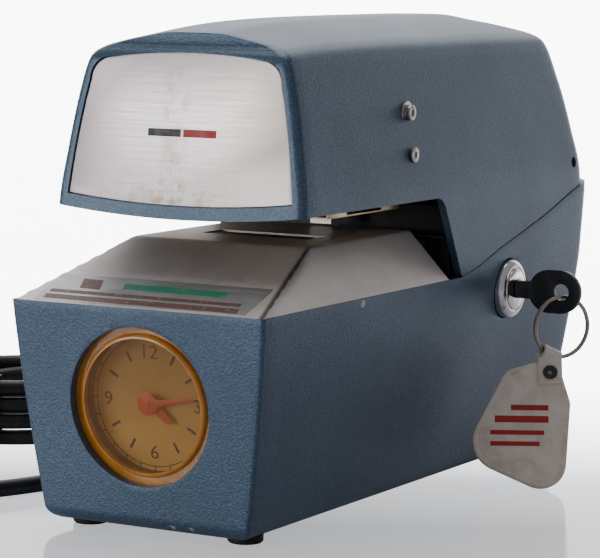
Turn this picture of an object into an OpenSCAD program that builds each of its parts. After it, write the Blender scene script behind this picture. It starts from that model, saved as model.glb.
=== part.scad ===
// Date and time stamp machine: a clock in the front of the base, a sheet-metal paper table, and a
// lift-off cover over the print head. Millimetres. X to the right, Y to the rear, Z up from the desk.

/* [Housing] */
// Width of the base at its rim
base_w = 114; // [108:1:124]
// Width of the base at its foot
foot_w = 92.2; // [86:0.2:98]
// Length over the front rim and the rear wall
case_l = 302; // [296:1:312]
// Height of the base's front rim above the desk
rim_z = 90; // [87:0.5:93]
// How far the foot of the front face is set back
front_lean = 7.7; // [5:0.1:10]
// How far the foot of the rear wall is set in
rear_lean = 18; // [12:0.5:22]
// Wall of the cast base
base_wall = 4; // [3:0.1:4.6]
// Share of the sides' flare that is an arc, the rest is straight
belly = 0.45; // [0:0.05:0.8]
// Height of the rubber feet
foot_h = 3.5; // [3:0.1:5]
// Radius of a rubber foot
foot_r = 7; // [5:0.5:8]
// Thickness of the bottom plate
bottom_t = 1.5; // [1:0.1:2.2]

/* [Cover] */
// Height of the cover's top above the desk
cover_top = 199; // [196:0.5:206]
// Wall of the cast cover
cover_wall = 3.5; // [2.6:0.1:3.8]
// Gap of the seam between cover and base
seam_gap = 0.4; // [0.3:0.05:0.8]
// Distance from the front rim to the head's front face
head_setback = 30; // [27:0.5:33]
// Height of the head's lower edge above the desk
head_z = 125; // [124.4:0.2:127]
// How far the middle of the head's front lip hangs below its corners
lip_drop = 3.5; // [1:0.1:3.6]
// Thickness of the name plate
plate_t = 1.2; // [0.8:0.1:1.6]
// Depth of the recess that the name plate lies in
plate_recess = 1.8; // [1.6:0.1:2.4]
// Side rim left round the name plate
plate_rim = 4.9; // [4.5:0.1:6]

/* [Paper table] */
// Height of the table's flat above the desk
flat_z = 110.5; // [109.5:0.1:111.5]
// Upright thickness of the table sheet
table_t = 1.8; // [1.2:0.1:2.2]
// Distance from the front rim to the front of the flat
flat_setback = 62.7; // [60:0.5:66]
// Half width of the flat at its front
flat_half_w = 40.9; // [39:0.1:43]
// Length of the table along the rim
table_l = 154.5; // [148:0.5:158]
// Width of the window over the platen
window_w = 50; // [49:0.5:54]

/* [Clock] */
// Radius of the round opening in the front face
clock_r = 31.35; // [30.5:0.05:32]
// Drop from the rim to the clock's centre
clock_drop = 38.4; // [37.5:0.1:40]
// Outside radius of the amber crystal's cup
crystal_r = 28.4; // [27.5:0.1:29]
// Thickness of the crystal
crystal_t = 1.3; // [1:0.1:1.6]
// Radius of the dial
dial_r = 34; // [33.4:0.1:35]
// Depth of the dial behind the front face
dial_depth = 10; // [9.6:0.1:11]
// Length of the minute hand from its arbor
minute_len = 21; // [17:0.5:23]
// Length of the hour hand from its arbor
hour_len = 12; // [9:0.5:15]
// Radius of the minute arbor
arbor_r = 1.25; // [1:0.05:1.5]

/* [Print head] */
// Inside distance between the frame's side plates
frame_gap = 80; // [80:0.5:81]
// Thickness of a side plate
side_t = 2; // [1.5:0.1:2.2]
// Distance from the front rim to the print line
print_setback = 96; // [93:0.5:97]
// Radius over the type of a type wheel
type_r = 16; // [15.4:0.1:16.4]
// Width of a type wheel
wheel_w = 8; // [7:0.1:8]
// Radius of the type wheels' shaft
shaft_r = 3; // [2.5:0.1:3.5]
// Height of the raised type
type_rise = 1.4; // [1:0.1:1.8]
// Module of the gear teeth
gear_m = 0.8; // [0.78:0.01:0.82]
// Teeth of the drive gear
drive_teeth = 36; // [34:1:37]
// Teeth of the idler gear
idler_teeth = 55; // [51:1:55]
// Teeth of the motor pinion
pinion_teeth = 12; // [12:1:14]
// Width of the gears
gear_w = 4; // [3:0.5:5]
// Radius of the motor
motor_r = 20; // [18:0.5:21]
// Radius of the ribbon wound on a spool
pack_r = 13.8; // [11:0.1:14]
// Radius of a spool's flanges
spool_r = 15.4; // [14.6:0.1:15.6]
// Width of the inked ribbon
ribbon_w = 13; // [12:0.5:13.5]
// Radius of a spool's spindle
spindle_r = 2; // [1.6:0.1:2.4]

/* [Hammer] */
// Length of the hammer arm from its pivot to the platen
hammer_len = 53; // [51:0.5:54]
// Length of the arm from its pivot to the plunger
tail_len = 32; // [30:0.5:34]
// Height of the hammer's pivot above the desk
pivot_z = 101; // [100:0.2:102]
// Radius of the hammer's pivot pin
pivot_r = 2.5; // [2:0.1:3]
// Radius of the solenoid's plunger
plunger_r = 5; // [4:0.1:6]
// Outside radius of the solenoid's coil
solenoid_r = 15; // [13:0.5:16]
// Radius of the trip lever's pin
trip_r = 1.5; // [1.2:0.1:1.8]

/* [Lock and key] */
// Distance from the front rim to the lock
lock_setback = 211; // [207:0.5:214]
// Height of the lock above the desk
lock_z = 81; // [80:0.5:82]
// Radius of the lock's polished bezel
bezel_r = 12.75; // [12.4:0.05:13]
// Radius of the lock's turning plug
plug_r = 8.9; // [8.4:0.1:9]
// Width of the key's bow along the lock's axis
bow_l = 24; // [22:0.5:26]
// Height of the key's bow
bow_h = 18.7; // [17.5:0.1:20]
// Thickness of the key's bow
bow_t = 2.8; // [2.4:0.1:3.2]
// Outside diameter of the key ring
ring_d = 28; // [27:0.2:29]
// Thickness of the key ring's wire
ring_wire = 1.9; // [1.6:0.1:2.1]
// Thickness of the fob
fob_t = 3; // [2.4:0.1:3.4]

/* [Mains lead] */
// Diameter of the lead
cord_d = 7; // [6.8:0.1:7]
// Outside radius of the coil, to the middle of the lead
coil_r = 44; // [43:0.5:46]
// Turns of the coil
coil_turns = 4.25; // [4.25:1:5.25]
// Step between neighbouring turns in a layer
turn_step = 9; // [9:0.1:10]
// Step between layers
layer_step = 7.6; // [7.6:0.1:8]

/* [Hidden] */

// Clearances
run_fit = 0.05;      // radial, a shaft in its bore
loose = 0.3;         // between pieces that pass each other
over = 1;            // how far a cut runs past what it cuts
arc_fn = 96;         // faces of a full circle in views

// Housing, derived
front_y = -case_l / 2;
rear_y = case_l / 2;
rear_top_z = rim_z + 28;
plate_top_z = foot_h + bottom_t;
face_tilt = atan(front_lean / (rim_z - foot_h));
foot_round = 5;
front_corner_r = 1.6;
rear_corner_r = 14;
seam_y0 = front_y + 165;
// The seam's line over the sides, as run behind the throat and rise above the rim
SEAM = [[0, 0], [16, 3.2], [33.4, 8.2], [56.6, 13.8], [87.8, 21.6], [114.9, 29.6], [128, 32.4], [142, 34]];
neck_lean = 27;      // of the throat's rear edge, from upright
neck_r = 9;
print_y = front_y + print_setback;
shaft_z = 139;
plate_x = frame_gap / 2;

// ---- Lofts ----------------------------------------------------------------------------------
// Half of a plan outline, front to rear: a corner arc, places along the side, a corner arc.
function half_outline(w, yf, yr, rf, rr, mids) =
    let (f = min(rf, w - 0.5), b = min(rr, w - 0.5))
    concat(
        [for (i = [0:2]) let (a = -90 + 45 * i) [w - f + f * cos(a), yf + f + f * sin(a)]],
        [for (y = mids) [w, y]],
        [for (i = [0:5]) let (a = 18 * i) [w - b + b * cos(a), yr - b + b * sin(a)]]);

// A closed ring from a half outline and its mirror image; z may depend on y.
function ring_of(half, zs) =
    let (n = len(half))
    concat(
        [for (i = [0:n - 1]) [half[i].x, half[i].y, zs[i]]],
        [for (i = [n - 1:-1:0]) [-half[i].x, half[i].y, zs[i]]]);

// A solid through a stack of rings, each end closed by a strip from side to side.
module loft(rings) {
    n = len(rings[0]);
    m = len(rings);
    half = n / 2;
    polyhedron(
        points = [for (r = rings) each r],
        faces = concat(
            [for (k = [0:m - 2]) for (i = [0:n - 1]) each
                [[k * n + i, (k + 1) * n + i, (k + 1) * n + (i + 1) % n],
                 [k * n + i, (k + 1) * n + (i + 1) % n, k * n + (i + 1) % n]]],
            [for (i = [0:half - 2]) each
                [[i, i + 1, n - 1 - i], [i + 1, n - 2 - i, n - 1 - i]]],
            [for (i = [0:half - 2]) let (t = (m - 1) * n) each
                [[t + i, t + n - 1 - i, t + i + 1], [t + i + 1, t + n - 1 - i, t + n - 2 - i]]]),
        convexity = 6);
}

// ---- Tubes ----------------------------------------------------------------------------------
function unit(v) = v / norm(v);
function tangent(p, i) = unit(p[min(i + 1, len(p) - 1)] - p[max(i - 1, 0)]);

// A closed tube along points, its ends cut square to the first and last stretch.
module tube(p, r, sides) {
    m = len(p);
    polyhedron(
        points = [for (i = [0:m - 1])
            let (t = tangent(p, i), s = unit(cross(t, [0, 0, 1])), u = cross(s, t))
            for (j = [0:sides - 1]) let (a = 360 * j / sides)
                p[i] + r * (cos(a) * s + sin(a) * u)],
        faces = concat(
            [for (i = [0:m - 2]) for (j = [0:sides - 1]) let (k = (j + 1) % sides) each
                [[i * sides + j, (i + 1) * sides + k, (i + 1) * sides + j],
                 [i * sides + j, i * sides + k, (i + 1) * sides + k]]],
            [for (j = [1:sides - 2]) [0, j + 1, j]],
            [for (j = [1:sides - 2]) let (t = (m - 1) * sides) [t, t + j, t + j + 1]]),
        convexity = 10);
}

// A smooth curve through hand-chosen points, steps to each stretch.
function smooth(p, steps) =
    let (n = len(p))
    concat([for (i = [0:n - 2])
        let (a = p[max(i - 1, 0)], b = p[i], c = p[i + 1], d = p[min(i + 2, n - 1)])
        for (k = [0:steps - 1]) let (t = k / steps)
            0.5 * ((2 * b) + (c - a) * t + (2 * a - 5 * b + 4 * c - d) * t * t
                + (3 * b - a - 3 * c + d) * t * t * t)], [p[n - 1]]);

// ---- Gears ----------------------------------------------------------------------------------
pressure = 20;
backlash = 0.09;     // taken off each side of a tooth, in modules
function pitch_r(n) = n * gear_m / 2;
function inv_deg(a) = tan(a) * 180 / PI - a;
// Half the angle of a tooth at radius r: an involute above the base circle, straight below it
function tooth_half(n, r) =
    let (base = pitch_r(n) * cos(pressure))
    90 / n - backlash * gear_m / pitch_r(n) * 180 / PI + inv_deg(pressure)
        - inv_deg(acos(min(base / r, 1)));
module gear_profile(n) {
    p = pitch_r(n);
    radii = [p - 1.2 * gear_m, max(p - 0.6 * gear_m, p * cos(pressure)), p, p + 0.5 * gear_m, p + 0.9 * gear_m];
    polygon([for (i = [0:n - 1]) each concat(
        [for (r = radii) let (a = 360 * i / n - tooth_half(n, r)) r * [cos(a), sin(a)]],
        [for (k = [len(radii) - 1:-1:0]) let (r = radii[k], a = 360 * i / n + tooth_half(n, r))
            r * [cos(a), sin(a)]])]);
}

// Things that lie along X: local z runs to +X, local x to -Z, local y stays
module along_x(x, y, z) { translate([x, y, z]) rotate([0, 90, 0]) children(); }
// Things on the front face: local z points out of the face, local y up it
clock_z = rim_z - clock_drop;
clock_y = front_y + front_lean * clock_drop / (rim_z - foot_h);
module on_face() { translate([0, clock_y, clock_z]) rotate([90 + face_tilt, 0, 0]) children(); }
module disc(r, z0, z1) { translate([0, 0, z0]) cylinder(r = r, h = z1 - z0, $fn = arc_fn); }
module hole(r, z0, z1) { translate([0, 0, z0 - over]) cylinder(r = r, h = z1 - z0 + 2 * over, $fn = arc_fn); }
module hex(across, z0, z1) {
    translate([0, 0, z0]) linear_extrude(z1 - z0) circle(d = across / cos(30), $fn = 6);
}

// ---- Base -----------------------------------------------------------------------------------
function base_half_w(z) =
    let (t = max(0, min(1, (z - foot_h) / (rim_z - foot_h))))
    foot_w / 2 + (base_w - foot_w) / 2 * ((1 - belly) * t + belly * sin(90 * t));
function base_front(z) = front_y + front_lean * (rim_z - min(z, rim_z)) / (rim_z - foot_h);
function base_rear(z) = rear_y - rear_lean * (rear_top_z - min(z, rear_top_z)) / (rear_top_z - foot_h);
function foot_in(z) =
    let (d = min(z - foot_h, foot_round)) foot_round - sqrt(pow(foot_round, 2) - pow(foot_round - d, 2));
function base_ring(z, inset, round_foot) =
    let (d = inset + (round_foot ? foot_in(z) : 0),
         h = half_outline(base_half_w(z) - d, base_front(z) + d, base_rear(z) - d,
                          max(front_corner_r - inset, 0.4), rear_corner_r - inset, [-60, 40]))
    ring_of(h, [for (p = h) z]);
BASE_LEVELS = [foot_h, foot_h + 0.7, foot_h + 2.2, foot_h + foot_round, 26, 48, 69, rim_z, rear_top_z + 10];
module base_form() { loft([for (z = BASE_LEVELS) base_ring(z, 0, true)]); }
module base_hollow() {
    loft([for (z = [foot_h - over, foot_h + foot_round, 26, 48, 69, rim_z, rear_top_z + 12])
        base_ring(z, base_wall, false)]);
}

// What lies below the cover, seen from the side: the throat, its rounded corner, then the seam
neck_corner_y = seam_y0 - (head_z - rim_z) * tan(neck_lean) - neck_r * tan((90 - neck_lean) / 2);
module below_cover() {
    rotate([90, 0, 90]) translate([0, 0, -base_w]) linear_extrude(2 * base_w)
        polygon(concat(
            [[front_y - 20, -10], [front_y - 20, head_z]],
            [for (i = [0:6]) let (a = 90 - (90 - neck_lean) * i / 6)
                [neck_corner_y + neck_r * cos(a), head_z - neck_r + neck_r * sin(a)]],
            [for (p = SEAM) [seam_y0 + p[0], rim_z + p[1] + seam_gap]],
            [[rear_y + 20, rim_z + SEAM[7][1] + seam_gap], [rear_y + 20, -10]]));
}

lock_y = front_y + lock_setback;
wall_x = base_half_w(lock_z);
cord_x = -25;
cord_z = 22;
cord_y = base_rear(cord_z);
gland_r = 7;
SCREW_POSTS = [for (sx = [-1, 1]) for (y = [front_y + 24, rear_y - 40]) [sx * (foot_w / 2 - 10.5), y]];
post_r = 5;
post_hole_r = 1.6;
lock_plate_x = wall_x - base_wall - 1.9;

module base_housing() color([0.30, 0.42, 0.53]) {
    difference() {
        base_form();
        base_hollow();
        // the rim in front of the seam, and everything above the seam
        translate([-base_w, front_y - over, rim_z]) cube([2 * base_w, seam_y0 - front_y + 2 * over, 60]);
        rotate([90, 0, 90]) translate([0, 0, -base_w]) linear_extrude(2 * base_w)
            polygon(concat([for (p = SEAM) [seam_y0 + p[0], rim_z + p[1]]],
                [[rear_y + 20, rim_z + 34], [rear_y + 20, rim_z + 60], [seam_y0, rim_z + 60]]));
        on_face() hole(clock_r, -base_wall - 2, 0);
        along_x(wall_x - base_wall - 3, lock_y, lock_z) hole(bezel_r + 0.55, 0, 10);
        translate([cord_x, cord_y - 10, cord_z]) rotate([-90, 0, 0]) hole(gland_r + run_fit, 0, 12);
    }
    // posts for the bottom plate's screws
    for (p = SCREW_POSTS) difference() {
        union() {
            translate([p.x, p.y, plate_top_z]) cylinder(r = post_r, h = 20, $fn = 48);
            intersection() {
                translate([p.x > 0 ? p.x : p.x - 12, p.y - 2, plate_top_z]) cube([12, 4, 20]);
                base_form();
            }
        }
        translate([p.x, p.y, plate_top_z - over]) cylinder(r = post_hole_r, h = 14, $fn = 32);
    }
}

module bottom_plate() color([0.16, 0.17, 0.18]) difference() {
    d = base_wall + loose;
    translate([0, 0, foot_h]) linear_extrude(bottom_t)
        polygon([for (q = base_ring(foot_h, d, false)) [q.x, q.y]]);
    for (p = SCREW_POSTS) translate([p.x, p.y, foot_h]) hole(2, 0, bottom_t);
}

// Each foot is a ring of rubber whose screw goes up into the post
module bottom_screws() color([0.55, 0.56, 0.58]) for (p = SCREW_POSTS) translate([p.x, p.y, 0]) {
    disc(1.55, 1.2, plate_top_z + 11);
    difference() {
        disc(3.4, 1.2, foot_h - 0.3);
        translate([-4, -0.4, 0.8]) cube([8, 0.8, 1.2]);
    }
}

module rubber_feet() color([0.05, 0.05, 0.05]) for (p = SCREW_POSTS) translate([p.x, p.y, 0]) difference() {
    union() {
        disc(foot_r, 0.8, foot_h);
        translate([0, 0, 0]) cylinder(r1 = foot_r - 0.8, r2 = foot_r, h = 0.8, $fn = arc_fn);
    }
    hole(1.8, 0, foot_h);
    translate([0, 0, -over]) cylinder(r = 3.7, h = foot_h + over - 0.3, $fn = arc_fn);
}

// ---- Paper table ----------------------------------------------------------------------------
table_rise = flat_z - rim_z;
table_half_w = base_w / 2 - 1;
table_inset = 0.6;
table_end_y = front_y + table_l;
table_top_y = table_end_y - table_rise * tan(20);
flat_y = front_y + flat_setback;
// Plan widths of the sloping side and front panels
table_side = table_half_w - flat_half_w;
table_front = flat_setback - table_inset;
// The bent form; "in" shifts every panel inwards by the sheet's thickness
function table_points(in) =
    let (d = in > 0 ? over : 0,
         side_l = norm([table_side, table_rise]),
         front_l = norm([table_front, table_rise]),
         w = table_half_w + (d * table_side - in * side_l) / table_rise,
         y0 = front_y + table_inset + (in * front_l - d * table_front) / table_rise,
         fw = flat_half_w - in * (side_l - table_side) / table_rise,
         y1 = flat_y + in * (front_l - table_front) / table_rise,
         z0 = in > 0 ? rim_z - d : rim_z + 0.02,
         z1 = flat_z - in)
    [[-w, y0, z0], [w, y0, z0], [w, table_end_y + d, z0], [-w, table_end_y + d, z0],
     [-fw, y1, z1], [fw, y1, z1], [fw, table_top_y + d, z1], [-fw, table_top_y + d, z1]];
module table_form(in) {
    polyhedron(points = table_points(in), faces = [[0, 1, 2, 3], [4, 5, 1, 0], [7, 6, 5, 4], [5, 6, 2, 1],
        [4, 0, 3, 7], [6, 7, 3, 2]], convexity = 4);
}
WINDOW = [print_y - 6.5, print_y + 9];
module table_plate() color([0.66, 0.64, 0.61]) difference() {
    table_form(0);
    table_form(table_t);
    translate([-window_w / 2, WINDOW[0], flat_z - table_t - over])
        cube([window_w, WINDOW[1] - WINDOW[0], table_t + 2 * over]);
}

// ---- Clock ----------------------------------------------------------------------------------
spacer_front = -base_wall - crystal_t;
MOVEMENT_SCREWS = [for (sx = [-1, 1]) for (sy = [-1, 1]) [sx * 29, sy * 29]];
movement_t = 1.5;
dial_t = 0.8;

module clock_crystal() color([0.85, 0.55, 0.10, 0.6]) on_face() difference() {
    union() {
        disc(crystal_r, -base_wall - crystal_t, -2);
        disc(dial_r, -base_wall - crystal_t, -base_wall);
    }
    translate([0, 0, -base_wall - crystal_t - over]) cylinder(r = crystal_r - crystal_t,
        h = base_wall + over - 2, $fn = arc_fn);
}

module dial_spacer() color([0.25, 0.22, 0.18]) on_face() difference() {
    disc(dial_r, -dial_depth, spacer_front);
    hole(crystal_r - crystal_t, -dial_depth, spacer_front);
}

module clock_dial() color([0.80, 0.62, 0.28]) on_face() {
    difference() {
        disc(dial_r, -dial_depth - dial_t, -dial_depth);
        hole(3.4, -dial_depth - dial_t, -dial_depth);
    }
    // raised hour bars, longer at the quarters
    for (h = [0:11]) rotate(30 * h) translate([-0.35, 18, -dial_depth])
        cube([0.7, 3.6, 0.2]);
    // the minute track's two fine rings
    for (r = [25.2, 27]) difference() {
        disc(r + 0.12, -dial_depth, -dial_depth + 0.1);
        hole(r - 0.12, -dial_depth, -dial_depth + 0.1);
    }
}

pipe_r = arbor_r + run_fit + 1.1;
movement_z = -dial_depth - dial_t - movement_t;
module clock_movement() color([0.62, 0.60, 0.55]) on_face() difference() {
    union() {
        translate([-35, -33.5, movement_z]) cube([70, 67, movement_t]);
        disc(27, movement_z - 22, movement_z);
        translate([-9, -30, movement_z - 16]) cube([18, 12, 16]);
    }
    hole(pipe_r + run_fit, movement_z - 8, movement_z + movement_t);
    for (p = MOVEMENT_SCREWS) translate([p.x, p.y, 0]) hole(1.6, movement_z, movement_z + movement_t);
}

// Screws with their spacer posts, from the movement's plate to the back of the front wall
module movement_screws() color([0.55, 0.56, 0.58]) on_face() for (p = MOVEMENT_SCREWS) translate([p.x, p.y, 0]) {
    disc(1.5, movement_z - 0.5, -base_wall - 1);
    disc(3, movement_z - 2.2, movement_z);
    disc(3, movement_z + movement_t, -base_wall);
}

hour_angle = 127;     // clockwise from twelve
minute_angle = 80;
module tapered_hand(len, w0, w1, t) {
    linear_extrude(t) polygon([[-w0 / 2, -len * 0.18], [w0 / 2, -len * 0.18], [w0 / 2, 0], [w1 / 2, len - w1 / 2],
        [0, len], [-w1 / 2, len - w1 / 2], [-w0 / 2, 0]]);
}
hour_z = -dial_depth + 2;
minute_z = hour_z + 1.6;
module hour_hand() color([0.88, 0.22, 0.05]) on_face() difference() {
    union() {
        translate([0, 0, hour_z]) rotate(-hour_angle) tapered_hand(hour_len, 4, 3, 0.5);
        disc(3.8, hour_z, hour_z + 0.5);
        disc(pipe_r, movement_z - 5, hour_z);
    }
    hole(arbor_r + run_fit, movement_z - 5, hour_z + 0.5);
}

module minute_hand() color([0.92, 0.25, 0.06]) on_face() {
    translate([0, 0, minute_z]) rotate(-minute_angle) tapered_hand(minute_len, 3, 1, 0.5);
    disc(4.5, minute_z, minute_z + 0.5);
    disc(arbor_r, movement_z - 5, minute_z + 1.1);
}

// ---- Frame ----------------------------------------------------------------------------------
arm_top = 177;
throat_y = 12;
SIDE_OUTLINE = [[-62, plate_top_z], [100, plate_top_z], [100, 160], [84, arm_top], [-88, arm_top], [-98, 167],
    [-98, 132], [-91, 126.5], [4, 126.5], [throat_y, 120], [throat_y, 105.4], [-54, 105.4], [-70, 92], [-70, 14]];
SPACERS = [[90, 26], [90, 160], [-88, 150], [-56, 20], [60, 170]];
spacer_r = 3;
idler_pitch = pitch_r(drive_teeth) + pitch_r(idler_teeth);
idler_dz = 10;
idler_y = print_y + sqrt(pow(idler_pitch, 2) - pow(idler_dz, 2));
idler_z = shaft_z + idler_dz;
pinion_pitch = pitch_r(idler_teeth) + pitch_r(pinion_teeth);
pinion_dz = 8;
pinion_y = idler_y + sqrt(pow(pinion_pitch, 2) - pow(pinion_dz, 2));
pinion_z = idler_z + pinion_dz;
pivot_y = print_y + hammer_len;
gear_x = 2.5 * wheel_w + 2 * 0.4 + 0.6;
module side_plate(x) {
    difference() {
        translate([x, 0, 0]) rotate([90, 0, 90]) linear_extrude(side_t) polygon(SIDE_OUTLINE);
        along_x(x, pivot_y, pivot_z) hole(pivot_r, 0, side_t);
        for (p = SPACERS) along_x(x, p[0], p[1]) hole(1.6, 0, side_t);
        // large cut-outs that lighten the plate
        translate([x - over, 20, 40]) cube([side_t + 2 * over, 22, 50]);
        translate([x - over, 40, 112]) cube([side_t + 2 * over, 40, 36]);
        translate([x - over, -40, 30]) cube([side_t + 2 * over, 40, 46]);
    }
}
module left_side_plate() color([0.60, 0.62, 0.64]) side_plate(-plate_x - side_t);
module right_side_plate() color([0.60, 0.62, 0.64]) {
    side_plate(plate_x);
    // stud that carries the idler gear
    along_x(gear_x - 0.4, idler_y, idler_z) cylinder(r = 2, h = plate_x - gear_x + 0.4, $fn = arc_fn);
    along_x(gear_x + gear_w + 0.4, idler_y, idler_z) cylinder(r = 4, h = plate_x - gear_x - gear_w - 0.4, $fn = arc_fn);
}
module frame_spacers() color([0.70, 0.70, 0.68]) for (p = SPACERS) along_x(0, p[0], p[1]) {
    disc(spacer_r, -plate_x, plate_x);
    disc(1.55, -plate_x - side_t - 0.6, plate_x + side_t + 0.6);
    for (s = [0, 1]) mirror([0, 0, s]) disc(3, plate_x + side_t, plate_x + side_t + 1.4);
}

// ---- Print head -----------------------------------------------------------------------------
wheel_pitch = wheel_w + 0.4;
// The shaft runs between two hangers, so that the ribbon passes outside its ends
hanger_x = plate_x - 9;
hanger_t = 1.6;
module type_shaft() color([0.72, 0.72, 0.70]) along_x(0, print_y, shaft_z) {
    disc(shaft_r, -hanger_x - hanger_t - 1, hanger_x + hanger_t + 1);
    // collars that keep the wheels in their places
    disc(5.5, -hanger_x, -2.5 * wheel_pitch - 0.2);
    disc(4.2, gear_x + gear_w + 0.3, hanger_x);
}

// A disc with raised blocks of type round it and a hub bore
module type_wheel(place, count) along_x(place * wheel_pitch, print_y, shaft_z) difference() {
    union() {
        disc(type_r - type_rise, -wheel_w / 2, wheel_w / 2);
        for (i = [0:count - 1]) rotate(360 * i / count)
            translate([type_r - type_rise - 1, -PI * type_r / count * 0.55, -wheel_w / 2 + 1])
                cube([type_rise + 0.7, PI * type_r / count * 1.1, wheel_w - 2]);
    }
    hole(shaft_r + run_fit, -wheel_w / 2, wheel_w / 2);
    for (a = [0:60:300]) rotate(a) translate([8.6, 0, 0]) hole(2, -wheel_w / 2, wheel_w / 2);
}
module minute_type_wheel() color([0.72, 0.60, 0.30]) type_wheel(2, 30);
module hour_type_wheel() color([0.72, 0.60, 0.30]) type_wheel(1, 24);
module date_type_wheel() color([0.72, 0.60, 0.30]) type_wheel(0, 31);
module month_type_wheel() color([0.72, 0.60, 0.30]) type_wheel(-1, 12);
module year_type_wheel() color([0.72, 0.60, 0.30]) type_wheel(-2, 10);

// Angles of the gears about +X, from +Y towards +Z, so that teeth and gaps meet
drive_to_idler = atan2(idler_dz, idler_y - print_y);
idler_to_pinion = atan2(pinion_dz, pinion_y - idler_y);
idler_turn0 = drive_to_idler + 180 + 180 / idler_teeth;
tooth_off = idler_to_pinion - idler_turn0 - 360 / idler_teeth * floor((idler_to_pinion - idler_turn0) * idler_teeth / 360);
pinion_turn0 = idler_to_pinion + 180 + 180 / pinion_teeth + tooth_off * idler_teeth / pinion_teeth;
module gear_at(y, z, n, turn0, x0, x1) {
    translate([x0, y, z]) rotate([90, 0, 90]) linear_extrude(x1 - x0) rotate(turn0) gear_profile(n);
}
module type_drive_gear() color([0.80, 0.66, 0.32]) difference() {
    union() {
        gear_at(print_y, shaft_z, drive_teeth, drive_to_idler, gear_x, gear_x + gear_w);
        along_x(0, print_y, shaft_z) disc(7, 2.5 * wheel_w + 0.8, gear_x);
    }
    along_x(0, print_y, shaft_z) hole(shaft_r + run_fit, 2.5 * wheel_w, gear_x + gear_w);
}
module idler_gear() color([0.80, 0.66, 0.32]) difference() {
    gear_at(idler_y, idler_z, idler_teeth, idler_turn0, gear_x, gear_x + gear_w);
    along_x(0, idler_y, idler_z) hole(2 + run_fit, gear_x, gear_x + gear_w);
    for (a = [0:72:288]) along_x(0, idler_y, idler_z) rotate(a) translate([12, 0, 0]) hole(4, gear_x, gear_x + gear_w);
}
motor_l = 26;
module type_motor() color([0.20, 0.20, 0.22]) difference() {
    union() {
        along_x(0, pinion_y, pinion_z) disc(motor_r, gear_x - 3 - motor_l, gear_x - 3);
        // a strap on each side that reaches the rear spacer
        translate([-plate_x, pinion_y + motor_r - 8, pinion_z - 6]) cube([2 * plate_x, 9, 5]);
    }
    along_x(0, pinion_y, pinion_z) hole(1.5 + run_fit, gear_x - 14, gear_x - 3);
}
module motor_pinion() color([0.80, 0.66, 0.32]) {
    gear_at(pinion_y, pinion_z, pinion_teeth, pinion_turn0, gear_x, gear_x + gear_w);
    along_x(0, pinion_y, pinion_z) disc(1.5, gear_x - 10, gear_x);
}

ribbon_z = shaft_z - type_r - 1.05;
ribbon_t = 0.3;
guide_r = 3;
guide_x = plate_x - 5;
guide_z = ribbon_z + guide_r + 0.4;
ribbon_x = guide_x + guide_r + 0.4;
spool_x = ribbon_x - ribbon_t - pack_r;
spool_z = 172;
ribbon_y0 = print_y - ribbon_w / 2;
spool_plate_y = ribbon_y0 + ribbon_w + 2.1;
spool_plate_t = 1.6;
module along_y(x, y, z) { translate([x, y, z]) rotate([-90, 0, 0]) children(); }

// A bridge between the side plates whose legs reach down beside the type wheels
module spool_plate() color([0.58, 0.60, 0.62]) {
    difference() {
        translate([-plate_x, spool_plate_y, guide_z - 3.6]) cube([2 * plate_x, spool_plate_t, 182 - guide_z + 3.6]);
        translate([-hanger_x, spool_plate_y - over, guide_z - 5])
            cube([2 * hanger_x, spool_plate_t + 2 * over, 158 - guide_z + 5]);
        for (s = [-1, 1]) along_y(s * guide_x, spool_plate_y, guide_z) hole(1.5, 0, spool_plate_t);
    }
    for (s = [-1, 1]) along_y(s * spool_x, spool_plate_y - ribbon_w - 4, spool_z)
        cylinder(r = spindle_r, h = ribbon_w + 4, $fn = arc_fn);
    // hangers bent forwards from the legs, which carry the shaft of the type wheels
    for (s = [0, 1]) mirror([s, 0, 0]) difference() {
        translate([hanger_x, print_y - 8, shaft_z - 8]) cube([hanger_t, spool_plate_y - print_y + 8 + spool_plate_t, 16]);
        along_x(hanger_x, print_y, shaft_z) hole(shaft_r, 0, hanger_t);
    }
}

module spool(s) along_y(s * spool_x, ribbon_y0, spool_z) difference() {
    union() {
        disc(pack_r, -0.3, ribbon_w + 0.3);
        disc(spool_r, -1.1, -0.3);
        disc(spool_r, ribbon_w + 0.3, ribbon_w + 1.1);
    }
    hole(spindle_r + run_fit, -1.1, ribbon_w + 1.1);
    for (a = [45:90:315]) rotate(a) translate([6.5, 0, 0]) hole(2.6, -1.1, ribbon_w + 1.1);
}
module left_spool() color([0.75, 0.75, 0.76]) spool(-1);
module right_spool() color([0.75, 0.75, 0.76]) spool(1);

// The band's path in the plane across the machine, moved outwards by d
function ribbon_line(d) = concat(
    [[-ribbon_x - d, spool_z]],
    [for (i = [0:6]) let (a = 180 + 15 * i) [-guide_x + (guide_r + 0.4 + d) * cos(a), guide_z + (guide_r + 0.4 + d) * sin(a)]],
    [for (i = [0:6]) let (a = 270 + 15 * i) [guide_x + (guide_r + 0.4 + d) * cos(a), guide_z + (guide_r + 0.4 + d) * sin(a)]],
    [[ribbon_x + d, spool_z]]);
function reversed(p) = [for (i = [len(p) - 1:-1:0]) p[i]];
module ribbon() color([0.10, 0.08, 0.16])
    translate([0, ribbon_y0 + ribbon_w, 0]) rotate([90, 0, 0]) linear_extrude(ribbon_w)
        polygon(concat(ribbon_line(-ribbon_t / 2), reversed(ribbon_line(ribbon_t / 2))));

module ribbon_pins() color([0.75, 0.75, 0.74]) for (s = [-1, 1]) along_y(s * guide_x, spool_plate_y, guide_z) {
    disc(guide_r, -ribbon_w - 3.2, 0);
    disc(1.45, 0, spool_plate_t + 0.6);
    disc(2.6, spool_plate_t, spool_plate_t + 1.2);
}

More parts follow.
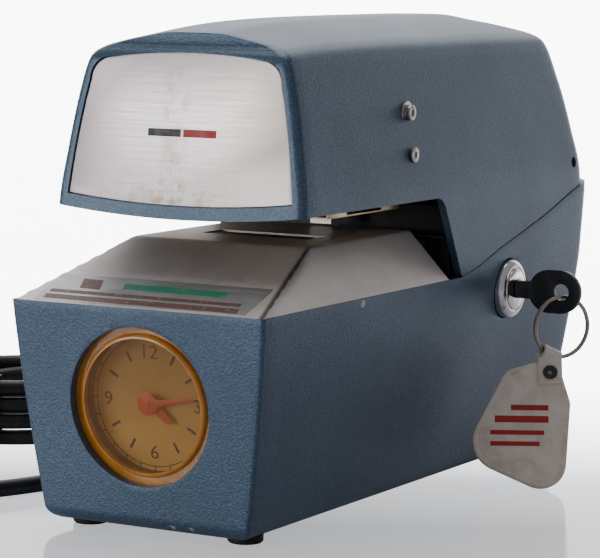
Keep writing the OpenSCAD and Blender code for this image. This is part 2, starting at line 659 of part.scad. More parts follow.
// The bent plate under the ribbon; its flanges lie against the outsides of the side plates
shield_top = ribbon_z - ribbon_t / 2 - 0.35;
shield_t = 0.8;
SHIELD_Y = [print_y - 23, print_y + 38];
module ribbon_shield() color([0.72, 0.66, 0.56]) {
    difference() {
        translate([-plate_x - side_t - shield_t, SHIELD_Y[0], shield_top - shield_t])
            cube([2 * (plate_x + side_t + shield_t), SHIELD_Y[1] - SHIELD_Y[0], shield_t]);
        translate([-23, WINDOW[0], shield_top - shield_t - over])
            cube([46, WINDOW[1] - WINDOW[0] - 3, shield_t + 2 * over]);
    }
    for (s = [-1, 1]) for (y = [SHIELD_Y[0], SHIELD_Y[1] - 16])
        translate([s > 0 ? plate_x + side_t : -plate_x - side_t - shield_t, y, shield_top - shield_t])
            cube([shield_t, 16, 131 - shield_top + shield_t]);
}

// ---- Throat ---------------------------------------------------------------------------------
throat_t = 1.2;
throat_z = 107;
throat_half_w = base_w / 2 - cover_wall - 1.5;
module throat_plate() color([0.05, 0.05, 0.05]) {
    translate([-throat_half_w, throat_y - throat_t, throat_z]) cube([2 * throat_half_w, throat_t, 120 - throat_z]);
    translate([-12, throat_y - throat_t, throat_z]) cube([24, throat_t, 136 - throat_z]);
    // lower flange and its tongue under the table's rear edge
    translate([-throat_half_w, table_end_y + 0.6, throat_z]) cube([2 * throat_half_w, throat_y - table_end_y - 0.6, throat_t]);
    translate([-flat_half_w + 3, table_top_y - 3, throat_z]) cube([2 * flat_half_w - 6, throat_y - table_top_y, throat_t]);
    // wings that close the corners outside the side plates
    for (s = [0, 1]) mirror([s, 0, 0]) translate([plate_x + side_t + 0.8, throat_y - throat_t, rim_z - 2])
        cube([throat_half_w - plate_x - side_t - 0.8, throat_t, throat_z - rim_z + 3]);
}
trip_y = -6;
trip_z = 131;
module trip_switch() color([0.15, 0.15, 0.16]) {
    translate([-8, 0, 127]) cube([16, throat_y - throat_t, 9]);
    for (s = [-1, 1]) difference() {
        translate([s > 0 ? 8 : -9.2, trip_y - 3.5, trip_z - 3.5]) cube([1.2, 14, 7]);
        along_x(s > 0 ? 8 : -9.2, trip_y, trip_z) hole(trip_r + run_fit, 0, 1.2);
    }
}
module trip_lever() color([0.80, 0.80, 0.78]) {
    along_x(0, trip_y, trip_z) disc(trip_r, -9.8, 9.8);
    along_x(0, trip_y, trip_z) disc(2.6, -7.4, 7.4);
    translate([-5, trip_y - 0.6, flat_z + 0.9]) cube([10, 1.2, trip_z - flat_z - 0.9]);
    translate([-3, trip_y - 0.6, trip_z]) cube([6, 1.2, 5]);
}

// ---- Hammer ---------------------------------------------------------------------------------
plunger_y = pivot_y + tail_len;
head_half = 4.5;
ARM_OUTLINE = [[-hammer_len - head_half, -10], [-hammer_len - head_half, -4], [-7, -4], [-3, 5], [5, 5],
    [tail_len + 4, 3.4], [tail_len + 4, -3.4], [7, -6], [-4, -10]];
module hammer_arm() color([0.45, 0.47, 0.50]) difference() {
    union() {
        translate([-8, pivot_y, pivot_z]) rotate([90, 0, 90]) linear_extrude(16) polygon(ARM_OUTLINE);
        along_x(0, pivot_y, pivot_z) disc(6, -12, 12);
        translate([-22, print_y - head_half, pivot_z - 8]) cube([44, 2 * head_half, 13.5]);
    }
    along_x(0, pivot_y, pivot_z) hole(pivot_r + run_fit, -12, 12);
    // fork for the plunger and its cross pin
    translate([-plunger_r - 0.5, plunger_y - plunger_r - 1.2, pivot_z - 10]) cube([2 * plunger_r + 1, 20, 20]);
    translate([-10, plunger_y - 3.2, pivot_z - 2.3]) cube([20, 20, 4.6]);
}
module hammer_platen() color([0.08, 0.08, 0.08])
    translate([-22, print_y - head_half, pivot_z + 5.5]) cube([44, 2 * head_half, flat_z - pivot_z - 5.8]);
module hammer_pivot() color([0.72, 0.72, 0.70]) along_x(0, pivot_y, pivot_z) {
    disc(pivot_r, -plate_x - side_t - 1, plate_x + side_t + 1);
    for (s = [0, 1]) mirror([0, 0, s]) disc(4, plate_x - 1.5, plate_x);
}

coil_z = [34, 74];
yoke_t = 3;
module solenoid_frame() color([0.55, 0.57, 0.58]) difference() {
    union() {
        translate([-solenoid_r - 1, plunger_y - solenoid_r, coil_z[1]]) cube([2 * solenoid_r + 2, 2 * solenoid_r + 1, yoke_t]);
        translate([-solenoid_r - 1, plunger_y - solenoid_r, coil_z[0] - yoke_t]) cube([2 * solenoid_r + 2, 2 * solenoid_r + 1, yoke_t]);
        translate([-solenoid_r - 1, plunger_y + solenoid_r + 0.5, plate_top_z])
            cube([2 * solenoid_r + 2, yoke_t, coil_z[1] + yoke_t - plate_top_z]);
    }
    translate([0, plunger_y, coil_z[1]]) hole(plunger_r + 0.3, 0, yoke_t);
}
module solenoid_coil() color([0.45, 0.20, 0.10]) translate([0, plunger_y, 0]) difference() {
    disc(solenoid_r, coil_z[0], coil_z[1]);
    translate([0, 0, coil_z[0] + 2]) cylinder(r = plunger_r + run_fit, h = coil_z[1], $fn = arc_fn);
}
module solenoid_plunger() color([0.75, 0.76, 0.76]) translate([0, plunger_y, 0]) {
    disc(plunger_r, coil_z[0] + 10, pivot_z + 4);
    disc(7.4, pivot_z - 8, pivot_z - 6);
    along_x(0, 0, pivot_z) disc(2, -8, 8);
}
spring_z = [coil_z[1] + yoke_t + 0.9, pivot_z - 8.9];
spring_turns = 6;
module return_spring() color([0.70, 0.71, 0.72])
    tube([for (i = [0:8 * spring_turns]) let (a = 45 * i, t = i / (8 * spring_turns))
        [6.4 * cos(a), plunger_y + 6.4 * sin(a), spring_z[0] + (spring_z[1] - spring_z[0]) * t]], 0.55, 6);

// ---- Lock, key and fob ----------------------------------------------------------------------
module lock_bracket() color([0.55, 0.57, 0.58]) {
    difference() {
        translate([lock_plate_x - 2, lock_y - 24, lock_z - 13]) cube([2, 48, 26]);
        along_x(0, lock_y, lock_z) hole(plug_r + 0.6, lock_plate_x - 2, lock_plate_x);
    }
    for (s = [-1, 1]) along_x(0, lock_y + s * 20, lock_z) disc(3, lock_plate_x, wall_x - base_wall - 0.45);
}
lock_back_x = lock_plate_x - 4.8;
face_x = wall_x + 4.3;
module lock_barrel() color([0.86, 0.86, 0.88]) along_x(0, lock_y, lock_z) rotate_extrude($fn = arc_fn) polygon(concat(
    [[plug_r + run_fit, lock_back_x], [plug_r + 0.5, lock_back_x], [plug_r + 0.5, lock_plate_x],
     [bezel_r, lock_plate_x], [bezel_r, wall_x + 1.6]],
    [for (i = [1:6]) let (a = 15 * i) [bezel_r - 3 + 3 * cos(a), wall_x + 1.6 + 2.4 * sin(a)]],
    [[plug_r + run_fit, wall_x + 3.6]]));
module lock_nut() color([0.70, 0.70, 0.68]) along_x(0, lock_y, lock_z) difference() {
    hex(23, lock_plate_x - 4.5, lock_plate_x - 2);
    hole(plug_r + 0.55, lock_plate_x - 4.5, lock_plate_x - 2);
}
module lock_plug() color([0.84, 0.84, 0.86]) along_x(0, lock_y, lock_z) difference() {
    disc(plug_r, lock_back_x, face_x);
    translate([-3.8, -1.3, face_x - 13]) cube([7.6, 2.6, 13 + over]);
}
cam_len = 22;
module lock_cam() color([0.66, 0.66, 0.64])
    translate([lock_back_x - 1.8, lock_y - 4, lock_z - 6]) cube([1.8, 8, cam_len + 6]);

bow_x = face_x + 6.5;
eye_x = face_x + 21.8;
eye_r = 3.6;
ring_play = 0.65;     // the wire stands this far over the eye's lower edge
module key() color([0.07, 0.06, 0.06]) {
    translate([face_x - 12.5, lock_y - 1.1, lock_z - 3.5]) cube([12.7, 2.2, 7]);
    translate([face_x + 0.2, lock_y - 1.8, lock_z - 3.75]) cube([8, 3.6, 7.5]);
    difference() {
        translate([0, lock_y + bow_t / 2, 0]) rotate([90, 0, 0]) linear_extrude(bow_t) union() {
            for (x = [bow_x + bow_h / 2, bow_x + bow_l - bow_h / 2]) translate([x, lock_z]) circle(d = bow_h, $fn = arc_fn);
            translate([bow_x + bow_h / 2, lock_z - bow_h / 2]) square([bow_l - bow_h, bow_h]);
        }
        along_y(eye_x, lock_y - bow_t / 2, lock_z) hole(eye_r, 0, bow_t);
    }
}
ring_r = (ring_d - ring_wire) / 2;
ring_z = lock_z - eye_r + ring_wire / 2 + ring_play - ring_r;
ring_turn = 55;       // of the ring's plane, about the upright
module key_ring() color([0.62, 0.60, 0.57])
    translate([eye_x, lock_y, ring_z]) rotate([90, 0, ring_turn]) rotate_extrude($fn = arc_fn)
        translate([ring_r, 0]) circle(d = ring_wire, $fn = 24);

// The strap hangs on the near lower part of the ring; the fob leans towards the front
strap_turn = 26;
STRAP = [eye_x - ring_r * sin(strap_turn) * cos(ring_turn), lock_y - ring_r * sin(strap_turn) * sin(ring_turn),
    ring_z - ring_r * cos(strap_turn)];
module fob_frame() { translate(STRAP) rotate([0, 0, 28.8]) rotate([-27.7, 0, 0]) children(); }
eyelet_z = -9;
module slab(t, y0) { translate([0, y0 + t, 0]) rotate([90, 0, 0]) linear_extrude(t) children(); }
FOB_ROUNDS = [[-2, -1, 7], [-13, -6, 8.5], [-20, -30.5, 13.5], [-5, -40, 11.2], [1.5, -14, 7]];
strap_leaf = 0.8;
module fob_strap() color([0.80, 0.76, 0.66]) {
    translate(STRAP) rotate([0, 0, ring_turn]) rotate([0, strap_turn, 0]) along_x(-4.5, 0, 0) difference() {
        cylinder(r = 3.3, h = 9, $fn = 48);
        translate([0, 0, -over]) cylinder(r = 2.1, h = 9 + 2 * over, $fn = 48);
    }
    fob_frame() difference() {
        union() {
            for (s = [-1, 1]) slab(strap_leaf, s > 0 ? fob_t / 2 : -fob_t / 2 - strap_leaf)
                translate([-5.2, eyelet_z - 5]) square([10.4, 7.2]);
            slab(fob_t + 2 * strap_leaf, -fob_t / 2 - strap_leaf) translate([-5.2, eyelet_z + 7]) square([10.4, -2.4 - eyelet_z - 6.8]);
            for (s = [-1, 1]) slab(strap_leaf, s > 0 ? fob_t / 2 : -fob_t / 2 - strap_leaf)
                translate([-5.2, eyelet_z + 2]) square([10.4, 5.2]);
        }
        along_y(0, -5, eyelet_z) hole(2, 0, 10);
    }
}
module key_fob() color([0.86, 0.84, 0.78]) fob_frame() difference() {
    slab(fob_t, -fob_t / 2) translate([0, eyelet_z]) hull() for (c = FOB_ROUNDS) translate([c[0], c[1]]) circle(c[2], $fn = 32);
    along_y(0, -fob_t / 2, eyelet_z) hole(2, 0, fob_t);
}
module fob_eyelet() color([0.06, 0.06, 0.06]) fob_frame() along_y(0, 0, eyelet_z) difference() {
    union() {
        disc(1.95, -fob_t / 2 - strap_leaf, fob_t / 2 + strap_leaf);
        for (s = [0, 1]) mirror([0, 0, s]) disc(3.1, fob_t / 2 + strap_leaf, fob_t / 2 + strap_leaf + 0.7);
    }
    hole(1.1, -4, 4);
}

// ---- Cover ----------------------------------------------------------------------------------
head_y = front_y + head_setback;
head_lean = 5.5 / 57;
head_tilt = atan(head_lean);
crown = 4.4;
// Levels of the cover: drop from the top, then how far the side, front and rear have drawn in,
// and how much of the roof's rise towards the rear the level takes
COVER_LEVELS = [[113, 0, 0, 2, 0], [74, 0.5, 0, 3.5, 0], [52, 3.3, 0, 8.5, 0], [30, 7.3, 0, 15, 0],
    [17, 10.6, 0, 20.5, 0.35], [13.4, 12.4, 0.9, 23, 0.45], [10.8, 16.2, 3, 27.5, 0.5],
    [9.1, 21.5, 4.2, 34, 0.6], [6.5, 33, 4.6, 50, 0.85], [4.4, 46, 4.8, 66, 1]];
function rise(y) = crown - 7.6 * exp(-(y - head_y) / 35);
function cover_in(z) = lookup(z, [for (i = [4:-1:0]) [-COVER_LEVELS[i][0] + cover_top - 1e-6 * i, COVER_LEVELS[i][1]]]);
function cover_half_w(z) = base_w / 2 - lookup(z, [for (i = [0:4]) [cover_top - COVER_LEVELS[i][0], COVER_LEVELS[i][1]]]);
function head_front(z) = head_y + head_lean * (z - head_z);
function cover_ring(k, wall) =
    let (c = COVER_LEVELS[k], z = cover_top - c[0], w = base_w / 2 - c[1] - wall,
         drop = wall * [0, 0, 0, 0, 0.6, 0.85, 1, 1, 1, 1][k],
         h = half_outline(w, head_front(z) + c[2] + wall, rear_y - c[3] - wall, 3.2, max(15 - wall, 2),
                          [-104, -80, -40, 10, 60]))
    ring_of(h, [for (p = h) z - drop + rise(p.y) * c[4]]);
module cover_form(wall) { loft([for (k = [0:len(COVER_LEVELS) - 1]) cover_ring(k, wall)]); }

// Outline of the name plate, up the head's face: crowned edges, rounded top corners
function plate_outline(grow) =
    let (up = 1 / cos(head_tilt), top = cover_top - 15.4 - head_z, w_top = cover_half_w(head_z + top - 9) - plate_rim + grow)
    concat(
        [for (i = [-4:4]) let (x = i / 4 * (cover_half_w(head_z + 4.8) - plate_rim + grow))
            [x, (1.8 + 3 * pow(i / 4, 2) - grow) * up]],
        [for (z = [15, 26, 37]) [cover_half_w(head_z + z) - plate_rim + grow, z * up]],
        [for (i = [0:5]) let (a = 18 * i) [w_top - 9 + 9 * cos(a), (top - 9 + 9 * sin(a) + grow) * up]],
        [[0, (top + 2.2 + grow) * up]],
        [for (i = [5:-1:0]) let (a = 18 * i) [-w_top + 9 - 9 * cos(a), (top - 9 + 9 * sin(a) + grow) * up]],
        [for (z = [37, 26, 15]) [-cover_half_w(head_z + z) + plate_rim - grow, z * up]]);
module on_head() { translate([0, head_y, head_z]) rotate([90 - head_tilt, 0, 0]) children(); }

COVER_SCREWS = [[-28, 161], [-28, 144]];
pivot_hole = [129, 132];
catch_y = lock_y + cam_len + 2;
hook_x = lock_back_x - 2.2;
hook_t = 2;
// The head's lower edge hangs lower in the middle, in a shallow arc
module front_lip() on_head() translate([0, 0, -cover_wall - 0.4]) linear_extrude(cover_wall + 3)
    polygon(concat([for (i = [-6:6]) [base_w / 12 * i, -lip_drop * (1 - pow(i / 6, 2))]],
        [[base_w / 2, 1], [-base_w / 2, 1]]));
module cover_shell() color([0.33, 0.45, 0.56]) {
    difference() {
        cover_form(0);
        cover_form(cover_wall);
        difference() {
            below_cover();
            front_lip();
        }
        on_head() translate([0, 0, -plate_recess]) linear_extrude(plate_recess + 3) polygon(plate_outline(0.25));
        for (s = [-1, 1]) for (p = COVER_SCREWS) along_x(0, p[0], p[1])
            mirror([0, 0, s > 0 ? 0 : 1]) hole(1.8, cover_half_w(p[1]) - 7, cover_half_w(p[1]) + 2);
        for (s = [-1, 1]) along_x(0, pivot_hole[0], pivot_hole[1])
            mirror([0, 0, s > 0 ? 0 : 1]) hole(2.4, cover_half_w(pivot_hole[1]) - 7, cover_half_w(pivot_hole[1]) + 2);
    }
    // hook that the lock's cam holds down
    translate([hook_x, catch_y, lock_z - 9]) cube([hook_t, 3.5, 54]);
    translate([hook_x, catch_y - 12, lock_z - 9]) cube([hook_t, 13, 4.3]);
    translate([hook_x, catch_y, lock_z + 35]) cube([cover_half_w(lock_z + 45) - cover_wall / 2 - hook_x, 3.5, 10]);
}
module name_plate() color([0.74, 0.72, 0.70]) on_head() translate([0, 0, -plate_recess])
    linear_extrude(plate_t) polygon(plate_outline(0));
module cover_screws() color([0.60, 0.60, 0.60]) for (s = [-1, 1]) for (i = [0, 1])
    along_x(0, COVER_SCREWS[i][0], COVER_SCREWS[i][1]) mirror([0, 0, s > 0 ? 0 : 1]) {
        w = cover_half_w(COVER_SCREWS[i][1]);
        disc(1.75, w - 6, w + 0.6);
        difference() {
            disc(3.2, w + 0.6, w + (i == 0 ? 2.9 : 1.6));
            translate([0, 0, w + 1]) cylinder(r = 1.3, h = 4, $fn = 6);
        }
    }

// ---- Mains lead -----------------------------------------------------------------------------
relief_l = 28;
lay_z = 3.6;
pile_z = 4.5;
cord_r = cord_d / 2;
COIL_AT = [-180, 25];
coil_layers = 4;
LEAD = [[-25, 165], [-25, 173], [-27, 187], [-34, 200], [-47, 209], [-63, 212], [-79, 208], [-91, 197], [-98, 181],
    [-100, 160], [-99, 130], [-97, 100], [-94, 70], [-90, 40], [-86, 10], [-82, -20], [-80, -45], [-81, -66],
    [-87, -86], [-95, -106], [-106, -122], [-122, -133], [-141, -136], [-160, -130], [-177, -116], [-192, -95],
    [-205, -68], [-215, -38], [-222, -8], [-224, 18], [-224, 25]];
LEAD_Z = [cord_z, cord_z, 19, 14, 8.5, 5, 3.9, 3.6, 3.6, 3.6, 3.6, 3.6, 3.6, 3.6, 3.6, 3.6, 3.6, 3.6,
    3.6, 3.6, 3.6, 3.6, 3.6, 3.6, 3.6, 3.7, 3.9, 4.2, 4.5, 4.5, 4.5];
TAIL = [[-180, 69, 27.3], [-173, 69, 27.2], [-160, 71, 25.5], [-146, 76, 21.5], [-135, 86, 16], [-130, 97, 11],
    [-129, 106, 8.8], [-129, 113, 8.4]];

module strain_relief() color([0.05, 0.05, 0.05]) along_y(cord_x, 0, cord_z) {
    disc(gland_r, cord_y - base_wall - 2.4, cord_y + 3);
    disc(gland_r + 2, cord_y - base_wall - 4.4, cord_y - base_wall - 1.8);
    translate([0, 0, cord_y + 1.6]) cylinder(r1 = gland_r + 1.6, r2 = gland_r + 0.4, h = 3, $fn = arc_fn);
    translate([0, 0, cord_y + 4.6]) cylinder(r1 = gland_r, r2 = cord_r + 0.8, h = 165 - cord_y - 4.6, $fn = arc_fn);
}
module cord_lead() color([0.04, 0.04, 0.04])
    tube(smooth([for (i = [0:len(LEAD) - 1]) [LEAD[i].x, LEAD[i].y, LEAD_Z[i]]], 2), cord_r, 8);

// Turns gone since the pile began, folded back at each layer's end
layer_turns = coil_turns / coil_layers;
function folded(t) = let (u = t / layer_turns, k = floor(u)) (k % 2 == 0 ? u - k : 1 - u + k) * layer_turns;
function climb(t, k) = let (s = min(1, max(0, (t - k * layer_turns + 0.25) * 2))) s * s * (3 - 2 * s);
function coil_point(t) =
    let (r = coil_r - turn_step * folded(t), a = 180 - 360 * t)
    [COIL_AT.x + r * cos(a), COIL_AT.y + r * sin(a),
     pile_z + layer_step * (climb(t, 1) + climb(t, 2) + climb(t, 3))];
coil_steps = floor(coil_turns * 24);
coil_end = coil_point(coil_turns);
COIL_LINE = concat(
    [[COIL_AT.x - coil_r, COIL_AT.y, pile_z], [COIL_AT.x - coil_r, COIL_AT.y + cord_d, pile_z]],
    [for (i = [2:coil_steps - 2]) coil_point(coil_turns * i / coil_steps)],
    [coil_end - [cord_d, 0, 0], coil_end]);
module cord_coil() color([0.04, 0.04, 0.04]) tube(COIL_LINE, cord_r, 6);
// Least gap of the coil to itself, between points more than half a turn apart
coil_gap = min([for (i = [0:len(COIL_LINE) - 1]) for (j = [i + 12:len(COIL_LINE) - 1])
    norm(COIL_LINE[i] - COIL_LINE[j])]) - cord_d;
echo(coil_gap = coil_gap);

module cord_tail() color([0.04, 0.04, 0.04]) tube(smooth(TAIL, 2), cord_r, 8);

plug_w = 24;
plug_t = 15.6;
plug_l = 30;
PLUG_AT = TAIL[len(TAIL) - 1];
module cord_plug() color([0.05, 0.05, 0.05]) translate([PLUG_AT.x, PLUG_AT.y, PLUG_AT.z]) {
    rotate([-90, 0, 0]) cylinder(r1 = cord_r + 0.8, r2 = 6.5, h = 14, $fn = 48);
    translate([-plug_w / 2, 12, -plug_t / 2]) cube([plug_w, plug_l - 12, plug_t]);
    for (s = [-1, 1]) translate([s * 6.35 - 0.75, plug_l, -3.2]) cube([1.5, 16, 6.4]);
}
tie_turn = -75;
module cord_tie() color([0.25, 0.25, 0.26]) {
    in_r = coil_r - turn_step * layer_turns - cord_r - 0.5;
    out_r = coil_r + cord_r + 0.5;
    top = pile_z + 3 * layer_step + cord_r + 0.5;
    translate([COIL_AT.x, COIL_AT.y, 0]) rotate(tie_turn) difference() {
        translate([in_r - 0.8, -4, 0.1]) cube([out_r - in_r + 1.6, 8, top + 0.7]);
        translate([in_r, -5, 0.8]) cube([out_r - in_r, 10, top - 0.8]);
    }
}

base_housing();
bottom_plate();
bottom_screws();
rubber_feet();
table_plate();
clock_crystal();
dial_spacer();
clock_dial();
clock_movement();
movement_screws();
hour_hand();
minute_hand();
left_side_plate();
right_side_plate();
frame_spacers();
type_shaft();
minute_type_wheel();
hour_type_wheel();
date_type_wheel();
month_type_wheel();
year_type_wheel();
type_drive_gear();
idler_gear();
type_motor();
motor_pinion();
spool_plate();
left_spool();
right_spool();
ribbon();
ribbon_pins();
ribbon_shield();
throat_plate();
trip_lever();
trip_switch();
hammer_arm();
hammer_platen();
hammer_pivot();
solenoid_frame();
solenoid_coil();
solenoid_plunger();
return_spring();
lock_bracket();
lock_barrel();
lock_nut();
lock_plug();
lock_cam();
key();
key_ring();
fob_strap();
key_fob();
fob_eyelet();
cover_shell();
name_plate();
cover_screws();
strain_relief();
cord_lead();
cord_coil();
cord_tail();
cord_plug();
cord_tie();
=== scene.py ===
# %% [markdown]
# # A date and time stamp machine
# The machine stands on a desk: a tapered painted base with a clock in its front, a stainless paper
# table, and a domed cover that hangs over the table with the print head inside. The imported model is
# loaded as a fixed frame, and every new piece rides on one of its bodies.

# %% Load the frame
import math

import bmesh
import bpy
import numpy as np
from mathutils import Matrix, Vector


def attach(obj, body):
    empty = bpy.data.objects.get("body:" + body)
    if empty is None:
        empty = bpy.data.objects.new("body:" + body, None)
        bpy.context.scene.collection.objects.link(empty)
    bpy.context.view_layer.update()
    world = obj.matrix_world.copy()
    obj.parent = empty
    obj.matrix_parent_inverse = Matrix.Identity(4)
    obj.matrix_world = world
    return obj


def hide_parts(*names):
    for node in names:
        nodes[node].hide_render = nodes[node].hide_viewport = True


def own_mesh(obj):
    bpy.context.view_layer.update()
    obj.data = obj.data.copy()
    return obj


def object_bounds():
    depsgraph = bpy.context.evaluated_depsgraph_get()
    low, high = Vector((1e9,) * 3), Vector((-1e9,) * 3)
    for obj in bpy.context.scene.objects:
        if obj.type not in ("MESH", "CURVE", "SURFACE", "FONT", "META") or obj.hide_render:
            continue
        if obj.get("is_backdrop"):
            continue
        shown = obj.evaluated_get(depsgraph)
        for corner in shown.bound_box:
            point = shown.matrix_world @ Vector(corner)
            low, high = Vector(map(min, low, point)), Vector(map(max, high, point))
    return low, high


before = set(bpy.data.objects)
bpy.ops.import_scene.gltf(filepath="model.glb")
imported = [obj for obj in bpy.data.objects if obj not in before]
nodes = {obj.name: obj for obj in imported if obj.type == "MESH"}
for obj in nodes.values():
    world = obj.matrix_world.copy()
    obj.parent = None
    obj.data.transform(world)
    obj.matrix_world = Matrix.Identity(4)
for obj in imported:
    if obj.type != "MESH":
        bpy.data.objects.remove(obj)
cad_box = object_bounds()
MM = 0.001
print(len(nodes), "nodes in the frame")

# %% [markdown]
# ## Camera
# The photographer stood to the right of the machine, a little above it, with a long lens. The camera's
# three axes come from its azimuth, its elevation and a slight roll.

# %% Camera
def camera_axes(azimuth, elevation, roll):
    """Right, up and backward unit vectors: a turn about the upright, a tilt, then a roll about the view."""
    a, e, q = np.radians([azimuth, elevation, roll])
    back = np.array([np.sin(a) * np.cos(e), -np.cos(a) * np.cos(e), np.sin(e)])
    level = np.array([np.cos(a), np.sin(a), 0.0])
    over = np.cross(back, level)
    right = np.cos(q) * level + np.sin(q) * over
    return right, np.cross(back, right), back


cam_right, cam_up, cam_back = camera_axes(29.55, 6.57, 0.58)
camera = bpy.data.objects.new("camera", bpy.data.cameras.new("camera"))
camera.data.lens = 163.2
camera.data.sensor_width = 36.0
place = Matrix.Identity(4)
for row in range(3):
    place[row][0], place[row][1], place[row][2] = cam_right[row], cam_up[row], cam_back[row]
    place[row][3] = (0.55822, -1.00853, 0.21966)[row]
camera.matrix_world = place
bpy.context.scene.collection.objects.link(camera)
bpy.context.scene.camera = camera
print("camera stands at", tuple(round(v, 3) for v in camera.matrix_world.translation))

# %% [markdown]
# ## Surfaces from arrays
# Every shape below is a grid of points, worked out for all its vertices at once. One helper turns a
# grid into a mesh, and it can close the grid on itself along either direction.

# %% Mesh helpers
def grid_faces(n_u, n_v, close_u=False, close_v=False):
    """Quads between neighbouring points of a grid; a closed direction joins its last row to its first."""
    iu = np.arange(n_u if close_u else n_u - 1)
    iv = np.arange(n_v if close_v else n_v - 1)
    u, v = np.meshgrid(iu, iv, indexing="ij")
    u2, v2 = (u + 1) % n_u, (v + 1) % n_v
    return np.stack([u * n_v + v, u2 * n_v + v, u2 * n_v + v2, u * n_v + v2], -1).reshape(-1, 4)


def capped_faces(rows, sides):
    """Faces of a tube made of rings, with a flat face over each end."""
    last = (rows - 1) * sides
    return (grid_faces(rows, sides, close_v=True).tolist()
            + [list(range(sides))[::-1], list(range(last, last + sides))])


def show(piece):
    """Puts a new object into the scene."""
    bpy.context.scene.collection.objects.link(piece)
    return piece


def mesh_object(name, points, faces):
    """A mesh object from points in millimetres and a list or array of faces."""
    mesh = bpy.data.meshes.new(name)
    places = np.asarray(points, float).reshape(-1, 3) * MM
    mesh.from_pydata(places.tolist(), [], [list(map(int, f)) for f in faces])
    mesh.polygons.foreach_set("use_smooth", np.full(len(mesh.polygons), True))
    return show(bpy.data.objects.new(name, mesh))


def tidy_mesh(piece, merge=0.004, sharp=35.0, recalc=True):
    """Merges doubled points (mm), turns the faces outwards and marks edges sharper than an angle."""
    bm = bmesh.new()
    bm.from_mesh(piece.data)
    bmesh.ops.remove_doubles(bm, verts=bm.verts, dist=merge * MM)
    bmesh.ops.dissolve_degenerate(bm, edges=bm.edges, dist=merge * MM)
    if recalc:
        bmesh.ops.recalc_face_normals(bm, faces=bm.faces)
    for e in bm.edges:
        e.smooth = len(e.link_faces) == 2 and e.calc_face_angle(0.0) < math.radians(sharp)
    for f in bm.faces:
        f.smooth = True
    bm.to_mesh(piece.data)
    bm.free()
    return piece


def bake_modifiers(piece):
    """Keeps a piece's mesh as its modifiers show it, and drops them."""
    graph = bpy.context.evaluated_depsgraph_get()
    done = bpy.data.meshes.new_from_object(piece.evaluated_get(graph))
    piece.modifiers.clear()
    piece.data = done
    return piece


def cut_away(piece, *cutters):
    """Takes the cutters' volumes out of a piece, and removes the cutters."""
    for cutter in cutters:
        cut = piece.modifiers.new("cut", "BOOLEAN")
        cut.operation, cut.solver, cut.object = "DIFFERENCE", "EXACT", cutter
    bpy.context.view_layer.update()
    bake_modifiers(piece)
    for cutter in cutters:
        bpy.data.objects.remove(cutter)
    return piece


def bevel(piece, width, segments=2, angle=30.0):
    """Rounds a piece's sharp edges by a width in millimetres."""
    cut = piece.modifiers.new("bevel", "BEVEL")
    cut.width, cut.segments = width * MM, segments
    cut.limit_method, cut.angle_limit = "ANGLE", math.radians(angle)
    cut.use_clamp_overlap = True
    bpy.context.view_layer.update()
    return bake_modifiers(piece)


def soft_edges(node, width, sharp=40.0, segments=2):
    """A copy of a CAD node with its flat faces joined again and its edges rounded by a width (mm)."""
    piece = nodes[node].copy()
    piece.data = nodes[node].data.copy()
    for key in list(piece.keys()):
        del piece[key]
    piece.parent = None
    piece.name = node + "_soft"
    show(piece)
    bm = bmesh.new()
    bm.from_mesh(piece.data)
    bmesh.ops.remove_doubles(bm, verts=bm.verts, dist=0.004 * MM)
    bmesh.ops.dissolve_limit(bm, angle_limit=math.radians(0.6), verts=bm.verts, edges=bm.edges)
    bm.to_mesh(piece.data)
    bm.free()
    if width:
        bevel(piece, width, segments, 28.0)
    return tidy_mesh(piece, 0.001, sharp, recalc=False)


def finish_piece(piece, body, material, replaces=()):
    """Gives a piece its material, its body and the CAD nodes that it stands for."""
    piece.data.materials.clear()
    piece.data.materials.append(material)
    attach(piece, body)
    if replaces:
        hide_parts(*replaces)
    print(piece.name, "-", len(piece.data.polygons), "faces, on", body)
    return piece


def soften(node, width, body, material, sharp=40.0):
    """A CAD node with rounded edges and a finish, standing for itself."""
    return finish_piece(soft_edges(node, width, sharp), body, material, [node])


# %% [markdown]
# ## Materials
# A small class keeps the node graphs short. All patterns read Object coordinates, which are the row
# frame's metres, so a scale of 1000 makes grains of about a millimetre.

